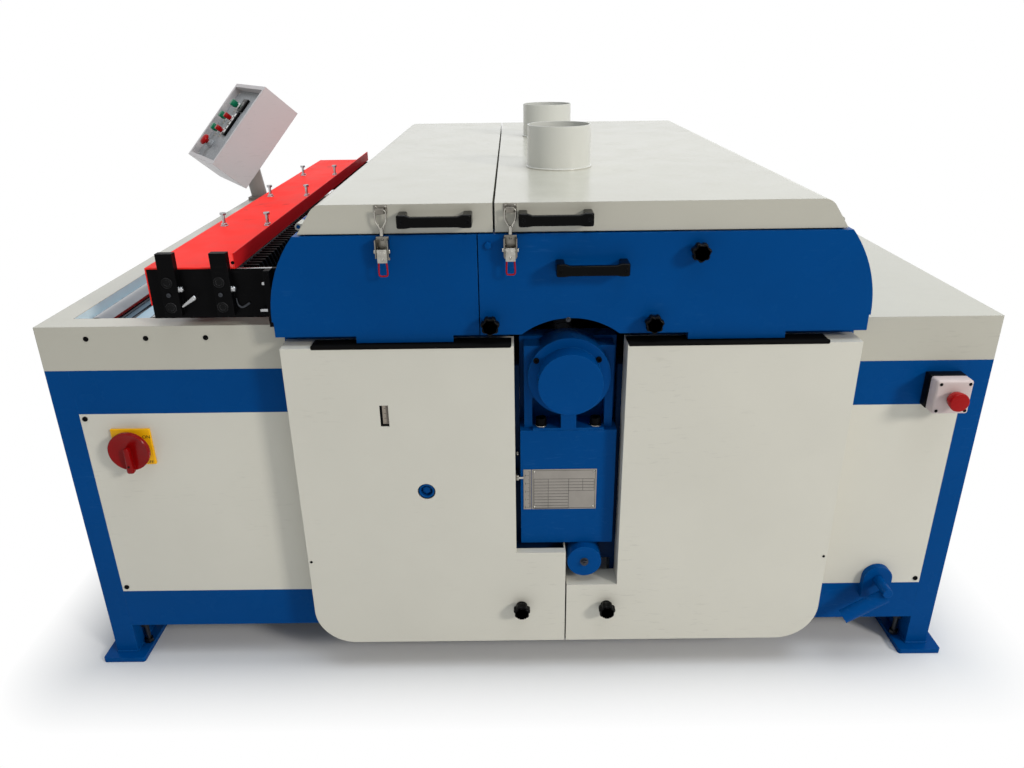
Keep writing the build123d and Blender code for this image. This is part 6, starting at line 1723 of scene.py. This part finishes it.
    def _stop(self) -> None:
        """Red mushroom of the panel stop on its grey collar."""
        foot = self._place(*self.stop_place, self.panel[2])
        Piece("panel_stop_collar").add(Form.turned(self.collar, 36, True), foot).dress(PANEL_GREY, "machine_frame")
        Piece("panel_stop_head").add(Form.turned(self.head, 40), foot).dress(RED_PLASTIC, "panel_stop", "panel_stop")


@dataclass
class SwitchStation:
    """Main switch on the left front panel."""

    plate_edge: float = 2.5
    words: tuple[tuple[str, float, float, float], ...] = (("ON", 11.0, 33.0, 24.0), ("OFF", 10.0, 30.0, -37.0))
    neck: float = 13.0
    dish: tuple[Pair, ...] = ((0, 0), (30.0, 0), (30.0, 13.0), (42.0, 13.4), (44.0, 15.4), (44.0, 23.0), (42.4, 24.6),
                              (39.0, 24.0), (32.0, 21.0), (0, 20.0))
    grip: Point = (15.0, 60.0, 16.0)
    grip_edge: float = 4.5
    grip_drop: float = 18.0
    grip_sunk: float = 6.0
    stem_radius: float = 6.0
    lock_hole: Stud = Stud(2.4, 0.5, 18, 0.2)

    def build(self) -> None:
        """Builds the plate's marks and the handle."""
        low, high = span("switch_plate")
        x, _, z = middle("switch_plate")
        plate = Piece("switch_face").block(low, high, self.plate_edge, 3)
        plate.dress(YELLOW_PLASTIC, "machine_frame", "switch_plate")
        marks = Piece("switch_marks")
        for words, size, right, up in self.words:
            marks.add(Form.text(words, size, 0.4), facing((x + right, low.y + 0.2, z + up), Out.FRONT))
        marks.dress(MARK_INK, "machine_frame")
        self._handle((x, low.y - 0.3, z))

    def _handle(self, foot: Point) -> None:
        """Dished red handle on a neck, with a tapered grip that points down.

        Args:
            foot: where its axis leaves the plate.
        """
        x, face, z = foot
        _, length, height = self.grip
        seat = face - self.neck - self.grip_sunk
        piece = Piece("switch_handle").turned(self.dish, 56, foot, Out.FRONT)
        grip = Form.block(self.grip, self.grip_edge, 3)
        for vert in grip.mesh.verts:
            vert.co.x *= 0.92 - 0.3 * vert.co.y / length
        piece.add(grip, facing((x, seat, z - self.grip_drop), Out.FRONT))
        piece.stud(Stud(self.stem_radius, span("switch_knob")[1].y - face, 20), foot, Out.REAR)
        piece.dress(SWITCH_RED, "switch_knob", "switch_knob")
        hole = Piece("switch_lock_hole").stud(self.lock_hole, (x, seat - height, z - length / 2), Out.FRONT)
        hole.dress(BLACK_STEEL, "switch_knob")


@dataclass
class StopStation:
    """Stop button box at the right end of the front rail."""

    base_depth: float = 24.0
    base_edge: float = 2.0
    cover_edge: float = 5.0
    screw_inset: float = 7.5
    screw: Stud = Stud(3.4, 0.8, 20, 0.3, 2.0, 0.6)
    head: tuple[Pair, ...] = ((0, -7.0), (11.9, -7.0), (11.9, 6.4), (16.6, 6.6), (17.4, 7.6), (19.0, 17.0),
                              (20.0, 24.6), (19.0, 27.2), (15.0, 27.9), (0, 28.0))

    def build(self) -> None:
        """Builds the box's base, its cover, the screws and the mushroom."""
        low, high = span("stop_box")
        x, _, z = middle("stop_box")
        step = high.y - self.base_depth
        base = Piece("stop_base").block((low.x, step, low.z), high, self.base_edge, 3)
        base.dress(BLACK_PLASTIC, "machine_frame")
        cover = Piece("stop_cover").block(low, (high.x, step + 0.2, high.z), self.cover_edge, 4)
        cover.dress(GREY_PLASTIC, "machine_frame", "stop_box")
        screws = Piece("stop_screws")
        for side in (low.x + self.screw_inset, high.x - self.screw_inset):
            for level in (low.z + self.screw_inset, high.z - self.screw_inset):
                screws.stud(self.screw, (side, low.y, level), Out.FRONT)
        screws.dress(BLACK_STEEL, "machine_frame")
        head = Piece("stop_mushroom").turned(self.head, 44, (x, low.y, z), Out.FRONT)
        head.dress(RED_PLASTIC, "stop_button", "stop_button")


@dataclass
class SawArbor:
    """Toothed blades on the arbor."""

    teeth: int = 36
    gullet: float = 11.0
    radius: float = 175.0
    bore: float = 40.2
    thickness: float = 3.6
    count: int = 10
    pitch: float = 115.0
    row_y: float = -60.0
    turn: float = 4.0

    def build(self) -> None:
        """Builds the row of blades."""
        x, _, z = middle("saw_blades")
        piece = Piece("toothed_blades")
        for number in range(self.count):
            y = self.row_y + self.pitch * (number - (self.count - 1) / 2) + self.thickness / 2
            blade = Form.annulus(self.radius, self.bore, self.thickness, self.teeth, self.gullet)
            piece.add(blade, facing((x, y, z), Out.FRONT, self.turn * number))
        piece.dress(BLADE_STEEL, "saw_arbor", "saw_blades")


def main() -> None:
    """Dresses the machine piece by piece and sets the studio up."""
    logging.basicConfig(level=logging.INFO, format="%(name)s: %(message)s")
    Studio().build()
    PaintShop().dress()
    for assembly in (FrameFittings(), BearingColumn(), LowerDoors(), LidFittings(), StarKnobs(), KickbackUnit(),
                     ControlStation(), SwitchStation(), StopStation(), SawArbor()):
        assembly.build()
        LOG.info("done: %s", type(assembly).__name__)


if __name__ == "__main__":
    main()
